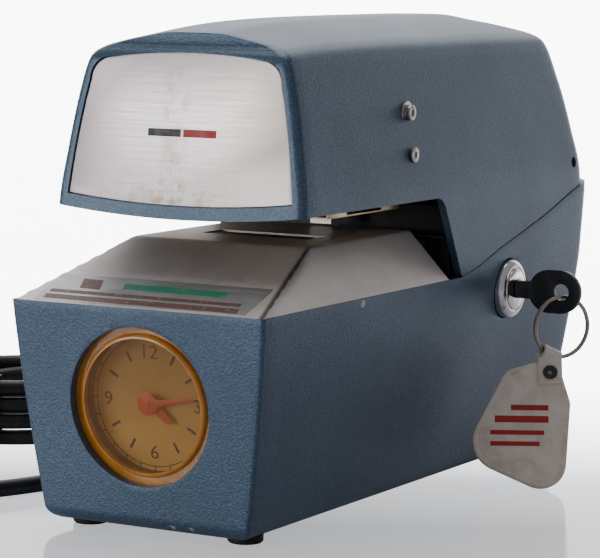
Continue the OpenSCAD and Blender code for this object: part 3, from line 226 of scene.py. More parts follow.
# %% Material graphs
class Finish:
    """A Principled material and the few nodes that its patterns need."""

    def __init__(self, name, **constants):
        self.material = bpy.data.materials.new(name)
        self.material.use_nodes = True
        self.tree = self.material.node_tree
        self.shader = self.tree.nodes["Principled BSDF"]
        self.place = self.tree.nodes.new("ShaderNodeTexCoord").outputs["Object"]
        for socket, value in constants.items():
            self.shader.inputs[socket.replace("_", " ")].default_value = value

    def node(self, kind, **inputs):
        made = self.tree.nodes.new("ShaderNode" + kind)
        for key, value in inputs.items():
            self.feed(made.inputs[key.replace("_", " ")], value)
        return made

    def feed(self, socket, value):
        if isinstance(value, bpy.types.NodeSocket):
            self.tree.links.new(value, socket)
        else:
            socket.default_value = value

    def stretched(self, scale):
        """Coordinates multiplied along each axis, for brushed and streaky patterns."""
        return self.node("Mapping", Vector=self.place, Scale=scale).outputs["Vector"]

    def noise(self, scale, detail=2.0, roughness=0.5, place=None):
        made = self.node("TexNoise", Vector=place or self.place, Scale=scale, Detail=detail,
                         Roughness=roughness)
        return made.outputs["Fac"]

    def cells(self, scale, place=None):
        return self.node("TexVoronoi", Vector=place or self.place, Scale=scale).outputs["Distance"]

    def ramp(self, value, *stops):
        """Colours or grey levels at positions from 0 to 1."""
        made = self.node("ValToRGB", Fac=value)
        points = made.color_ramp.elements
        while len(points) < len(stops):
            points.new(0.5)
        for point, (at, colour) in zip(points, stops):
            point.position = at
            point.color = colour if isinstance(colour, tuple) else (colour, colour, colour, 1.0)
        return made.outputs["Color"]

    def mix(self, part, first, second):
        made = self.tree.nodes.new("ShaderNodeMix")
        made.data_type = "RGBA"
        self.feed(made.inputs[0], part)
        self.feed(made.inputs[6], first)
        self.feed(made.inputs[7], second)
        return made.outputs[2]

    def math(self, kind, first, second=0.0, clamp=False):
        made = self.tree.nodes.new("ShaderNodeMath")
        made.operation, made.use_clamp = kind, clamp
        self.feed(made.inputs[0], first)
        self.feed(made.inputs[1], second)
        return made.outputs[0]

    def times(self, first, second, clamp=False):
        return self.math("MULTIPLY", first, second, clamp)

    def plus(self, first, second, clamp=False):
        return self.math("ADD", first, second, clamp)

    def minus(self, first, second):
        return self.math("SUBTRACT", first, second)

    def vector(self, kind, first, second=None, scale=None):
        """A vector sum, distance, dot product or scaling."""
        made = self.node("VectorMath", Vector=first)
        made.operation = kind
        if second is not None:
            self.feed(made.inputs[1], second)
        if scale is not None:
            made.inputs["Scale"].default_value = scale
        return made.outputs["Value" if kind in ("DISTANCE", "DOT_PRODUCT") else "Vector"]

    def axis(self, name):
        return self.node("SeparateXYZ", Vector=self.place).outputs[name]

    def colour(self, value):
        self.feed(self.shader.inputs["Base Color"], value)

    def rough(self, value):
        self.feed(self.shader.inputs["Roughness"], value)

    def bump(self, height, distance, strength=1.0):
        """Relief of a height from 0 to 1 over a distance in millimetres."""
        made = self.node("Bump", Height=height, Distance=distance * MM, Strength=strength)
        self.tree.links.new(made.outputs["Normal"], self.shader.inputs["Normal"])


def rgb(r, g, b):
    return (r, g, b, 1.0)


print("helpers ready")

# %% [markdown]
# ## The mains lead
# A 7 mm rubber lead leaves the rear of the base through a tapered strain relief, lies along the machine's
# left side, and its spare length is wound into a round coil with the plug beside it. Its route repeats the
# source's points, rounded by a curve that passes through each of them.

# %% Lead, coil and tail
LEAD = np.array([
    [-25, 165, 22], [-25, 173, 22], [-27, 187, 19], [-34, 200, 14], [-47, 209, 8.5], [-63, 212, 5],
    [-79, 208, 3.9], [-91, 197, 3.6], [-98, 181, 3.6], [-100, 160, 3.6], [-99, 130, 3.6], [-97, 100, 3.6],
    [-94, 70, 3.6], [-90, 40, 3.6], [-86, 10, 3.6], [-82, -20, 3.6], [-80, -45, 3.6], [-81, -66, 3.6],
    [-87, -86, 3.6], [-95, -106, 3.6], [-106, -122, 3.6], [-122, -133, 3.6], [-141, -136, 3.6],
    [-160, -130, 3.6], [-177, -116, 3.6], [-192, -95, 3.7], [-205, -68, 3.9], [-215, -38, 4.2],
    [-222, -8, 4.5], [-224, 18, 4.5], [-224, 25, 4.5]], float)
TAIL = np.array([
    [-180, 69, 27.3], [-173, 69, 27.2], [-160, 71, 25.5], [-146, 76, 21.5], [-135, 86, 16],
    [-130, 97, 11], [-129, 106, 8.8], [-129, 113, 8.4]], float)
COIL_X, COIL_Y, COIL_Z = -180, 25, 4.5
RELIEF_AT = (-25, 127.5, 22)
PLUG_X, PLUG_Z = -129, 8.4
CORD_R = 3.5


def through(points, steps):
    """Catmull-Rom curve through points, with a number of steps from each to the next."""
    p = np.vstack([2 * points[0] - points[1], points, 2 * points[-1] - points[-2]])
    t = np.linspace(0, 1, steps, endpoint=False)[None, :, None]
    a, b, c, d = (p[i:len(p) - 3 + i, None, :] for i in range(4))
    curve = 0.5 * (2 * b + (c - a) * t + (2 * a - 5 * b + 4 * c - d) * t**2
                   + (3 * b - a - 3 * c + d) * t**3)
    return np.vstack([curve.reshape(-1, 3), points[-1]])


def smooth_step(s):
    """Eases from 0 to 1: 3 s squared less 2 s cubed."""
    return s * s * (3 - 2 * s)


def coil_route(turns=4.25, layers=4, outer=44.0, turn_step=9.0, layer_step=7.6, per_turn=48):
    """Spiral in, then out, once a layer; each reversal climbs one layer in half a turn."""
    t = np.linspace(0, turns, int(turns * per_turn) + 1)
    each = turns / layers
    u = t / each
    k = np.floor(u)
    folded = np.where(k % 2 == 0, u - k, 1 - u + k) * each
    radius = outer - turn_step * folded
    angle = np.radians(180 - 360 * t)
    climb = sum(smooth_step(np.clip((t - n * each + 0.25) * 2, 0, 1)) for n in range(1, layers))
    return np.stack([COIL_X + radius * np.cos(angle), COIL_Y + radius * np.sin(angle),
                     COIL_Z + layer_step * climb], -1)


def tube(path, radius, sides=16):
    """Rings square to a path: each point's tangent crossed with the upright gives the ring's two axes."""
    step = np.gradient(path, axis=0)
    t = step / np.linalg.norm(step, axis=1, keepdims=True)
    side = np.cross(t, [0.0, 0.0, 1.0])
    side /= np.linalg.norm(side, axis=1, keepdims=True)
    up = np.cross(side, t)
    a = np.linspace(0, 2 * np.pi, sides, endpoint=False)
    r = np.broadcast_to(radius, len(path))[:, None, None]
    round_it = np.cos(a)[None, :, None] * side[:, None, :] + np.sin(a)[None, :, None] * up[:, None, :]
    return path[:, None, :] + r * round_it


def closed_tube(name, path, radius, sides=16):
    """A tube whose two ends are shut by flat faces."""
    rings = tube(path, radius, sides)
    return tidy_mesh(mesh_object(name, rings, capped_faces(len(rings), sides)), sharp=60)


coil_line = coil_route()
route = np.vstack([through(LEAD, 5)[:-1], coil_line[:-1], through(TAIL, 5)])
keep = np.r_[True, np.linalg.norm(np.diff(route, axis=0), axis=1) > 0.8]
route = route[keep]
mains_lead = closed_tube("mains_lead", route, CORD_R, 14)

# %% [markdown]
# ## Black rubber and moulded plastic
# The lead is black rubber, dulled by dust, with a very fine skin. The plug and the strain relief are the
# same rubber, moulded.

# %% Rubber
def make_rubber(name, tint, dust, roughness):
    f = Finish(name, Specular_IOR_Level=0.4)
    patches = f.noise(60, 4, 0.6)
    f.colour(f.ramp(patches, (0.35, rgb(tint, tint, tint * 1.05)), (0.75, rgb(dust, dust, dust * 1.02))))
    f.rough(f.ramp(f.noise(400, 2), (0.3, roughness - 0.08), (0.7, roughness + 0.1)))
    f.bump(f.noise(2600, 2), 0.03)
    return f.material


cord_rubber = make_rubber("cord_rubber", 0.006, 0.022, 0.42)
foot_rubber = make_rubber("foot_rubber", 0.008, 0.03, 0.6)
black_moulding = make_rubber("black_moulding", 0.028, 0.060, 0.34)
finish_piece(mains_lead, "machine", cord_rubber, ["cord_lead", "cord_coil", "cord_tail"])

# %% [markdown]
# ## Plug and strain relief
# The plug body is a rounded box whose section grows out of the lead; the strain relief is turned, with
# grooves that let it bend. Both are profiles carried along a straight line.

# %% Plug and strain relief
def turned(name, profile, centre, sides=48):
    """Surface of revolution about a line along Y: each profile point is (distance along Y, radius)."""
    a = np.linspace(0, 2 * np.pi, sides, endpoint=False)
    along, radius = np.asarray(profile, float).T
    x = centre[0] + radius[:, None] * np.cos(a)
    z = centre[2] + radius[:, None] * np.sin(a)
    y = centre[1] + np.broadcast_to(along[:, None], x.shape)
    faces = grid_faces(len(along), sides, close_v=True)
    return tidy_mesh(mesh_object(name, np.stack([x, y, z], -1), faces), sharp=50)


sleeve_start, sleeve_end, grooves = 15, 34.8, 7
along = np.linspace(sleeve_start, sleeve_end, 120)
part = (along - sleeve_start) / 19.8
ribs = 0.35 * (np.cos(part * 2 * np.pi * grooves) > 0.3) * np.clip((sleeve_end - along) / 3, 0, 1)
relief = [(0.6, 0.01), (0.6, 8.6), (2.6, 8.6), (2.6, 6.6), (8.3, 6.6), (8.8, 8.2), (11.6, 7.6), (12.4, 6.9)]
relief += [(y + 2.4, 6.9 - 2.5 * (y - 15) / 19.8 - r) for y, r in zip(along, ribs)]
relief += [(37.4, 3.6), (37.4, 0.01)]
strain_relief = turned("strain_relief_turned", relief, RELIEF_AT)
finish_piece(strain_relief, "machine", black_moulding, ["strain_relief"])

plug_rows, plug_sides = 26, 40
q = np.linspace(0, 1, plug_rows)
plug_y = 113 + 30 * q
grow = smooth_step(np.clip((plug_y - 122) / 8, 0, 1))
half_w = (4.4 + 1.8 * q) * (1 - grow) + 11.9 * grow
half_h = (4.4 + 1.6 * q) * (1 - grow) + 7.7 * grow
close = np.sqrt(np.clip(1 - np.clip((plug_y - 141.4) / 1.6, 0, 1) ** 2, 0.0, 1))
a = np.linspace(0, 2 * np.pi, plug_sides, endpoint=False)
power = (2 + 3 * grow)[:, None]
edge = (0.86 + 0.14 * close)[:, None]
across, upright = (np.sign(c) * np.abs(c) ** (2 / power) * edge for c in (np.cos(a), np.sin(a)))
rings = np.stack([PLUG_X + half_w[:, None] * across, np.broadcast_to(plug_y[:, None], across.shape),
                  PLUG_Z + half_h[:, None] * upright], -1)
faces = capped_faces(plug_rows, plug_sides)
plug_body = tidy_mesh(mesh_object("plug_body", rings, faces), sharp=50)
finish_piece(plug_body, "machine", black_moulding, ["cord_plug"])


def box_piece(name, low, high, width):
    """A block between two corners, in millimetres, with rounded edges."""
    low, high = np.asarray(low, float), np.asarray(high, float)
    pick = np.array([[i, j, k] for i in (0, 1) for j in (0, 1) for k in (0, 1)])
    points = low + pick * (high - low)
    faces = [[0, 1, 3, 2], [4, 6, 7, 5], [0, 4, 5, 1], [2, 3, 7, 6], [0, 2, 6, 4], [1, 5, 7, 3]]
    return tidy_mesh(bevel(mesh_object(name, points, faces), width, 2), 0.001)


blade_x = [PLUG_X + side * 6.35 for side in (-1, 1)]
blades = [box_piece(f"plug_blade_{i}", (x - 0.75, 140, 5.2), (x + 0.75, 159, 11.6), 0.3)
          for i, x in enumerate(blade_x)]

# %% [markdown]
# ## Metals
# Nickel and zinc plated steel parts carry fine grinding lines and a few darker patches. The bezel of the
# lock is chrome, almost a mirror, with wiping marks.

# %% Metal finishes
def make_metal(name, light, dark, roughness, grain=(60, 60, 1500), grime=0.5, relief=0.02):
    """Grinding lines are noise stretched along one axis; grime is slow noise that darkens the metal."""
    f = Finish(name, Metallic=1.0)
    lines = f.noise(1.0, 3, 0.6, f.stretched(grain))
    patches = f.ramp(f.noise(45, 4, 0.6), (0.35, 0.0), (0.8, grime))
    f.colour(f.mix(patches, rgb(*light), rgb(*dark)))
    f.rough(f.ramp(f.plus(f.times(lines, 0.6), f.times(patches, 0.5)),
                   (0.2, roughness - 0.08), (0.9, roughness + 0.18)))
    f.bump(lines, relief)
    return f.material


zinc_steel = make_metal("zinc_steel", (0.62, 0.61, 0.58), (0.36, 0.34, 0.31), 0.32)
ring_steel = make_metal("ring_steel", (0.52, 0.48, 0.43), (0.18, 0.13, 0.09), 0.34, (300, 300, 300), 0.8)
chrome = make_metal("bezel_chrome", (0.78, 0.77, 0.77), (0.50, 0.48, 0.47), 0.12, (300, 900, 900), 0.5, 0.004)
brass = make_metal("gear_brass", (0.72, 0.50, 0.22), (0.42, 0.28, 0.12), 0.34)
tan_steel = make_metal("yellow_passivated_steel", (0.70, 0.55, 0.34), (0.42, 0.30, 0.17), 0.36)


def make_paint(name, light, dark, roughness, scale=900, relief=0.05, metallic=0.0):
    """Plain paint or plastic: two tones in slow patches, and a fine orange peel."""
    f = Finish(name, Metallic=metallic)
    f.colour(f.ramp(f.noise(70, 4, 0.6), (0.3, rgb(*light)), (0.75, rgb(*dark))))
    f.rough(f.ramp(f.noise(300, 2), (0.3, roughness - 0.06), (0.7, roughness + 0.1)))
    f.bump(f.noise(scale, 2), relief)
    return f.material


dark_sheet = make_paint("black_sheet", (0.006, 0.006, 0.007), (0.012, 0.012, 0.013), 0.5)
grey_moulding = make_paint("grey_moulding", (0.04, 0.04, 0.042), (0.06, 0.06, 0.06), 0.45)
winding = make_paint("taped_winding", (0.16, 0.05, 0.02), (0.10, 0.03, 0.012), 0.35)
ribbon_cloth = make_paint("inked_ribbon", (0.012, 0.008, 0.03), (0.02, 0.014, 0.04), 0.8, 5200, 0.04)

# %% [markdown]
# ## Hammertone enamel
# The housing is sprayed with a slate blue hammer finish: aluminium flakes gather into small dimples about
# half a millimetre across, brighter inside and darker at their edges. Cells at two sizes, stirred by
# noise, give the dimples, their tone and their relief. Rubbed edges, scratches and dust lie over them.

# %% Hammertone
CHIPS = [((56.9, -73.5, 88.0), 2.6), ((52.8, -91.5, 36.0), 2.0),
         ((12.7, -143.5, 5.4), 2.4), ((20.8, -143.5, 5.6), 2.2)]


def make_hammertone(name, dark, light, roughness, metallic):
    f = Finish(name, Metallic=metallic, Specular_IOR_Level=0.4, Coat_Weight=0.1, Coat_Roughness=0.3)
    stir = f.node("TexNoise", Vector=f.place, Scale=900.0, Detail=1.0).outputs["Color"]
    moved = f.vector("ADD", f.place, f.vector("SCALE", stir, scale=0.0009))
    dimples = f.cells(1150, moved)
    flakes = f.noise(2100, 3, 0.7)
    tone = f.plus(f.times(dimples, 0.75), f.times(flakes, 0.45))
    base = f.ramp(tone, (0.18, rgb(*dark)), (0.78, rgb(*light)))
    slow = f.noise(16, 4, 0.55)
    shade = f.mix(f.ramp(slow, (0.3, 0.0), (0.8, 0.35)), base, rgb(*[0.82 * v for v in dark]))
    # long thin rubs: noise stretched along the machine, cut to its rare peaks
    rubs = f.ramp(f.noise(1.0, 2, 0.5, f.stretched((420, 26, 300))), (0.70, 0.0), (0.78, 1.0))
    where = f.ramp(f.noise(22, 2), (0.58, 0.0), (0.70, 0.5))
    worn = f.mix(f.times(rubs, where), shade, rgb(0.02, 0.024, 0.03))
    # chips down to the pale primer, each a place and a size in millimetres
    ragged = f.times(f.noise(900, 3), 0.0022)
    for at, size in CHIPS:
        gap = f.vector("DISTANCE", f.place, [v * MM for v in at])
        inside = f.math("LESS_THAN", f.plus(gap, ragged), size * MM)
        worn = f.mix(f.times(inside, 0.8), worn, rgb(0.55, 0.50, 0.48))
    f.colour(worn)
    f.rough(f.ramp(f.plus(f.times(tone, 0.5), f.times(slow, 0.4)),
                   (0.15, roughness - 0.08), (0.85, roughness + 0.14)))
    f.bump(f.plus(dimples, f.times(flakes, 0.4)), 0.11, 0.8)
    return f.material


blue_enamel = make_hammertone("blue_hammertone", (0.023, 0.048, 0.084), (0.092, 0.150, 0.228), 0.36, 0.28)
print("metals and paints ready")

# %% [markdown]
# ## Cover and base as lofted shells
# Both housings are drawn as levels: at each height a half width, a front, a rear and two corner radii.
# The outline is walked once round in the same number of steps at every height, so the levels join into
# one grid. Each column of the grid stops at the seam, which is a curve seen from the side.

# %% Outline and seam
def monotone(x, xs, ys):
    """Monotone cubic through points: slopes are harmonic means, so no curve overshoots its points."""
    xs, ys = np.asarray(xs, float), np.asarray(ys, float)
    h, d = np.diff(xs), np.diff(ys) / np.diff(xs)
    m = np.zeros(len(xs))
    same = d[:-1] * d[1:] > 0
    m[1:-1][same] = 2 * d[:-1][same] * d[1:][same] / (d[:-1][same] + d[1:][same])
    m[0], m[-1] = d[0], d[-1]
    i = np.clip(np.searchsorted(xs, x) - 1, 0, len(h) - 1)
    t = np.clip((x - xs[i]) / h[i], 0, 1)
    return ((2 * t**3 - 3 * t**2 + 1) * ys[i] + (t**3 - 2 * t**2 + t) * h[i] * m[i]
            + (3 * t**2 - 2 * t**3) * ys[i + 1] + (t**3 - t**2) * h[i] * m[i + 1])


SIDE = np.unique(np.r_[np.linspace(0, 1, 34), np.linspace(0.40, 0.56, 34)])


def walk(part, half_w, front, rear, r_front, r_rear):
    """Point of an outline in five stretches: front, corner, side, corner, rear; part runs from 0 to 5."""
    s = part
    x = np.where(s < 1, s * (half_w - r_front), 0)
    y = np.where(s < 1, front, 0)
    a = np.radians(90 * (s - 1))
    x = np.where((s >= 1) & (s < 2), half_w - r_front + r_front * np.sin(a), x)
    y = np.where((s >= 1) & (s < 2), front + r_front - r_front * np.cos(a), y)
    x = np.where((s >= 2) & (s < 3), half_w, x)
    y = np.where((s >= 2) & (s < 3),
                 front + r_front + (s - 2) * (rear - r_rear - front - r_front), y)
    b = np.radians(90 * (s - 3))
    x = np.where((s >= 3) & (s < 4), half_w - r_rear + r_rear * np.cos(b), x)
    y = np.where((s >= 3) & (s < 4), rear - r_rear + r_rear * np.sin(b), y)
    x = np.where(s >= 4, (5 - s) * (half_w - r_rear), x)
    y = np.where(s >= 4, rear, y)
    return x, y


PARTS = np.r_[np.linspace(0, 1, 22)[:-1], np.linspace(1, 2, 8)[:-1], 2 + SIDE[:-1],
              np.linspace(3, 4, 14)[:-1], np.linspace(4, 5, 10)]


def mirrored(x, y, z):
    """Adds the left half to a right half grid, front centre and rear centre shared."""
    right = np.stack([x, y, z], -1)
    left = right[1:-1][::-1] * [-1, 1, 1]
    return np.concatenate([right, left])


FRONT_Y, REAR_Y, SEAM_Y = -151.0, 151.0, 14.0                     # base front, rear, and start of the seam
RIM, FOOT_Z = 90.0, 3.5                                           # the base's level edge and its foot
HEAD_Y, HEAD_Z, TOP_Z, HALF_W = -121, 125, 199, 57                # the head's lower front edge, top, half width
SEAM = np.array([[0, 0], [16, 3.2], [33.4, 8.2], [56.6, 13.8], [87.8, 21.6], [114.9, 29.6],
                 [128, 32.4], [142, 34]])


def seam_rise(y):
    """How far the seam stands over the rim."""
    return monotone(np.clip(y - SEAM_Y, 0, 142), SEAM[:, 0], SEAM[:, 1])


LEAN = math.tan(math.radians(27))
NECK_Y = SEAM_Y - 35 * LEAN - 9 * math.tan(math.radians(31.5))


def cover_edge(x, y):
    """Height of the cover's lower edge: the lip's arc, the head's level edge, the neck, then the seam."""
    lip = HEAD_Z - 3.5 * np.clip(1 - (x / HALF_W) ** 2, 0, 1)
    reach = np.cos(np.radians(27))
    a = np.arcsin(np.clip((y - NECK_Y) / 9, 0, reach))
    neck = np.where(y < NECK_Y + 9 * reach, 116 + 9 * np.cos(a), RIM + (SEAM_Y - y) / LEAN)
    edge = np.where(y < NECK_Y, 125.0, np.minimum(125.0, neck))
    edge = np.where(y < -118.5, lip, edge)
    return np.where(y > SEAM_Y, RIM + 0.4 + seam_rise(y), np.maximum(edge, RIM + 0.4))


print(len(PARTS), "columns on each side, neck starts at y", round(NECK_Y, 1))

# %% [markdown]
# ## The cover
# One casting-like shell 3.5 mm thick: a head that overhangs the paper table, a crown that rises to the
# rear, and a neck that comes down to the base. Its levels give how far each drop from the top has drawn in.

# %% Cover
HEAD_LEAN = 5.5 / 57
DROP = np.array([113, 74, 52, 30, 17, 13.4, 10.8, 9.1, 6.5, 4.4, 4.35])
SIDE_IN = np.array([0, 0.5, 3.3, 7.3, 10.6, 12.4, 16.2, 21.5, 33, 46, 56.98])
FRONT_IN = np.array([0, 0, 0, 0, 0, 0.9, 3, 4.2, 4.6, 4.8, 5.0])
REAR_IN = np.array([2, 3.5, 8.5, 15, 20.5, 23, 27.5, 34, 50, 66, 80])
RISES = np.array([0, 0, 0, 0, 0.35, 0.45, 0.5, 0.6, 0.85, 1, 1])
LEVEL = np.arange(11.0)


def crown_rise(y):
    """The crown climbs steeply behind the head's front, then levels out."""
    return 4.4 - 7.6 * np.exp(-(y - HEAD_Y) / 35)


def cover_point(level, part, wall):
    """Point of the shell at a level 0..10 and a part of the outline, moved inwards by the wall."""
    z0 = TOP_Z - monotone(level, LEVEL, DROP)
    half_w = np.maximum(HALF_W - monotone(level, LEVEL, SIDE_IN) - wall, 0.02)
    front = HEAD_Y + HEAD_LEAN * (z0 - HEAD_Z) + monotone(level, LEVEL, FRONT_IN) + wall
    rear = REAR_Y - monotone(level, LEVEL, REAR_IN) - wall
    r_front = np.minimum(max(3.2 - wall, 0.6), 0.7 * half_w)
    r_rear = np.minimum(max(15 - wall, 2), 0.7 * half_w)
    x, y = walk(part, half_w, front, rear, r_front, r_rear)
    down = wall * np.clip((level - 3) / 3, 0, 1)
    return x, y, z0 - down + crown_rise(y) * monotone(level, LEVEL, RISES)


def cover_skin(wall, rows_low=26, rows_top=54):
    """Rows from the seam to the ridge; where the seam cuts each column is found by halving."""
    part = PARTS[:, None]
    low, high = np.zeros_like(part), np.full_like(part, 3.0)
    for _ in range(22):
        mid = (low + high) / 2
        x, y, z = cover_point(mid, part, wall)
        above = z > cover_edge(*cover_point(mid, part, 0.0)[:2])
        low, high = np.where(above, low, mid), np.where(above, mid, high)
    rows = np.concatenate([low + (3 - low) * np.linspace(0, 1, rows_low)[None, :-1],
                           np.broadcast_to(np.linspace(3, 10, rows_top)[None, :], (len(PARTS), rows_top))], 1)
    return mirrored(*cover_point(rows, np.broadcast_to(part, rows.shape), wall))


outer, inner = cover_skin(0.0), cover_skin(3.5)
shell = np.concatenate([outer[:, ::-1], inner], axis=1)
cover = mesh_object("cover_enamelled", shell, grid_faces(len(shell), shell.shape[1], close_u=True))
tidy_mesh(cover, 0.05)

# %% [markdown]
# ## The name plate's recess
# The plate lies in a shallow recess of the head's face. Its outline is crowned at the bottom, drawn in
# towards the top and rounded in the upper corners. The same outline cuts the recess and makes the plate.

# %% Plate outline and recess
head_tilt = math.atan(HEAD_LEAN)


def side_at(z):
    """The cover's half width at a height."""
    return HALF_W - np.interp(TOP_Z - z, DROP[:5][::-1], SIDE_IN[:5][::-1])


def plate_outline(grow, n=9):
    """Outline in the head's plane, (across, up), from the lower left round by the right to the upper left."""
    up = 1 / math.cos(head_tilt)
    x = np.linspace(-1, 1, 41)
    bottom = np.stack([x * (side_at(129.8) - 4.9 + grow), (1.8 + 3 * x**2 - grow) * up], 1)
    z = np.linspace(9, 42, 12)
    w = monotone(125 + z, [125, 147, 169, 182], [56.5, 53.7, 49.7, 46.4]) - 4.9 + grow
    right = np.stack([w, z * up], 1)
    top, w_top = 58.6, side_at(174.6) - 4.9 + grow
    a = np.radians(np.linspace(0, 78, n))
    corner = np.stack([w_top - 9 + 9 * np.cos(a), (top - 9 + 9 * np.sin(a) + grow) * up], 1)
    s = np.linspace(1, -1, 21)[1:-1]
    crown = np.stack([s * (w_top - 9 + 9 * np.cos(a[-1])), (top + 2.2 - 2.4 * s**2 + grow) * up], 1)
    left = np.vstack([corner[::-1], right[::-1]]) * [-1, 1]
    return np.vstack([bottom, right, corner, crown, left])


def on_head(flat, out):
    """From the head's plane to the row frame; out is the distance in front of the face."""
    c, s = math.cos(head_tilt), math.sin(head_tilt)
    out = np.broadcast_to(out, len(flat))
    return np.stack([flat[:, 0], HEAD_Y + flat[:, 1] * s - out * c, HEAD_Z + flat[:, 1] * c + out * s], 1)


def prism(name, loops):
    """Stacked outlines joined into a closed solid with flat ends."""
    faces = capped_faces(len(loops), len(loops[0]))
    return tidy_mesh(mesh_object(name, np.vstack(loops), faces), 0.001)


recess = prism("recess_cutter", [on_head(plate_outline(0.35), -1.8), on_head(plate_outline(0.35), 3.0)])


def rod(name, start, end, radius, sides=40):
    """A closed straight cylinder between two points."""
    line = np.linspace(np.asarray(start, float), np.asarray(end, float), 2)
    t = (line[1] - line[0]) / np.linalg.norm(line[1] - line[0])
    one = np.cross(t, [0.3, 0.9, 0.31])
    one /= np.linalg.norm(one)
    two = np.cross(t, one)
    a = np.linspace(0, 2 * np.pi, sides, endpoint=False)
    ring = radius * (np.cos(a)[:, None] * one + np.sin(a)[:, None] * two)
    return prism(name, [line[0] + ring, line[1] + ring])


holes = [rod(f"hole_cutter_{i}", (side * 50, 129, 132), (side * 60, 129, 132), 2.4)
         for i, side in enumerate((-1, 1))]
cut_away(cover, recess, *holes)
bevel(cover, 0.35, 2, 50)
tidy_mesh(cover, 0.001, 32, recalc=False)
finish_piece(cover, "cover", blue_enamel, ["cover_shell"])

# %% [markdown]
# ## Brushed name plate
# A 1.2 mm aluminium plate brushed along its width. Old fingermarks and rust-coloured stains near its
# lower edge and middle have tinted it. Painted light makes it darker and pinker at its left, brighter and
# warmer at its right. Two plain short bars lie near its middle.

# %% Name plate
def make_brushed_plate():
    f = Finish("brushed_plate", Metallic=0.85, Specular_IOR_Level=0.5)
    lines = f.noise(1.0, 3, 0.65, f.stretched((26, 500, 3400)))
    fine = f.noise(1.0, 2, 0.6, f.stretched((90, 500, 6500)))
    # painted light: the plate is painted darker and pinker at its left, brighter and warmer at its right, as
    # the light falls across it
    across = f.plus(f.times(f.axis("X"), 9.0), 0.5, clamp=True)
    tint = f.ramp(across, (0.0, rgb(0.55, 0.475, 0.51)), (0.5, rgb(0.72, 0.67, 0.67)),
                  (0.85, rgb(0.97, 0.88, 0.82)), (1.0, rgb(1.0, 0.93, 0.87)))
    streaks = f.ramp(f.plus(f.times(lines, 0.6), f.times(fine, 0.4)), (0.3, 0.0), (0.7, 0.30))
    base = f.mix(streaks, tint, rgb(0.38, 0.36, 0.36))
    # stains: blotches in a band above the lower edge, and in an upright band left of the middle
    blot = f.noise(150, 4, 0.7)
    low = f.ramp(f.times(f.minus(f.axis("Z"), 0.1285), 60.0, clamp=True),
                 (0.0, 1.0), (0.55, 0.25), (1.0, 0.0))
    left = f.ramp(f.times(f.plus(f.axis("X"), 0.045), 12.0, clamp=True), (0.0, 0.4), (0.5, 1.0), (0.9, 0.0))
    off_middle = f.math("ABSOLUTE", f.plus(f.axis("X"), 0.0035))
    upright = f.ramp(f.times(off_middle, 120.0, clamp=True), (0.3, 0.45), (0.9, 0.0))
    bands = f.plus(f.times(low, left), upright, clamp=True)
    amount = f.times(f.ramp(blot, (0.46, 0.0), (0.62, 1.0)), bands)
    f.colour(f.mix(f.times(amount, 0.6), base, rgb(0.62, 0.40, 0.22)))
    f.rough(f.ramp(f.plus(lines, f.times(amount, 0.5)), (0.3, 0.34), (0.9, 0.52)))
    f.bump(lines, 0.02)
    return f.material


brushed_plate = make_brushed_plate()
PLATE_LOW, PLATE_TOP, edge = -1.8, -0.6, 0.35                      # behind the head's face
plate_levels = [(0.0, PLATE_LOW), (0.0, PLATE_TOP - edge), (-0.1, PLATE_TOP - 0.3 * edge), (-edge, PLATE_TOP)]
plate = prism("name_plate_brushed", [on_head(plate_outline(grow), out) for grow, out in plate_levels])
tidy_mesh(plate, 0.001, 50)
finish_piece(plate, "cover", brushed_plate, ["name_plate"])


def head_bar(name, x0, x1, z0, z1, material):
    """A thin printed bar on the plate, given in the row frame's X and Z."""
    flat = np.array([[x0, z0], [x1, z0], [x1, z1], [x0, z1]], float) - [0, HEAD_Z]
    made = prism(name, [on_head(flat, PLATE_TOP), on_head(flat, PLATE_TOP + 0.08)])
    return finish_piece(made, "cover", material)


black_print = make_paint("black_print", (0.010, 0.010, 0.010), (0.02, 0.02, 0.02), 0.45, 1500, 0.01)
red_print = make_paint("red_print", (0.55, 0.02, 0.015), (0.45, 0.02, 0.02), 0.45, 1500, 0.01)
head_bar("plate_bar_black", -15.5, -0.6, 153.6, 156.6, black_print)
head_bar("plate_bar_red", 0.6, 15.5, 153.6, 156.6, red_print)

# %% [markdown]
# ## The base
# The base narrows to its foot and its sides bulge a little. Its top edge is level in front, then rises in
# a curve to the rear, where the cover's seam runs. Openings for the clock, the lock and the lead are cut
# out of the finished shell.

# %% Base
FACE_LEAN = 7.7 / 86.5


def base_point(z, part, wall):
    """Outline of the base at a height, moved inwards by the wall; the foot's outer edge is rounded."""
    t = np.clip((z - FOOT_Z) / (RIM - FOOT_Z), 0, 1)
    half_w = 46.1 + 10.9 * (0.55 * t + 0.45 * np.sin(np.radians(90 * t)))
    d = np.minimum(z - FOOT_Z, 5)
    foot = (5 - np.sqrt(np.maximum(25 - (5 - d) ** 2, 0))) if wall == 0 else wall
    front = FRONT_Y + FACE_LEAN * (RIM - np.minimum(z, RIM)) + foot
    rear = REAR_Y - 18 * (118 - np.minimum(z, 118)) / 114.5 - foot
    half_w = half_w - foot
    x, y = walk(part, half_w, front, rear, max(1.6 - wall, 0.4), 14 - wall)
    return x, y, z + 0 * x


def base_edge(y):
    """Top edge: the rim in front of the seam, then the seam's curve."""
    return RIM + np.where(y > SEAM_Y, seam_rise(y), 0.0)


def base_skin(wall, rows=40):
    part = PARTS[:, None]
    top = np.full_like(part, 90.0)
    for _ in range(8):
        top = base_edge(base_point(top, part, 0.0)[1])
    s = np.linspace(0, 1, rows)[None, :]
    z = np.where(s < 0.3, 3.5 + 5 * (s / 0.3) ** 1.4, 8.5 + (top - 8.5) * (s - 0.3) / 0.7)
    return mirrored(*base_point(z, np.broadcast_to(part, z.shape), wall))


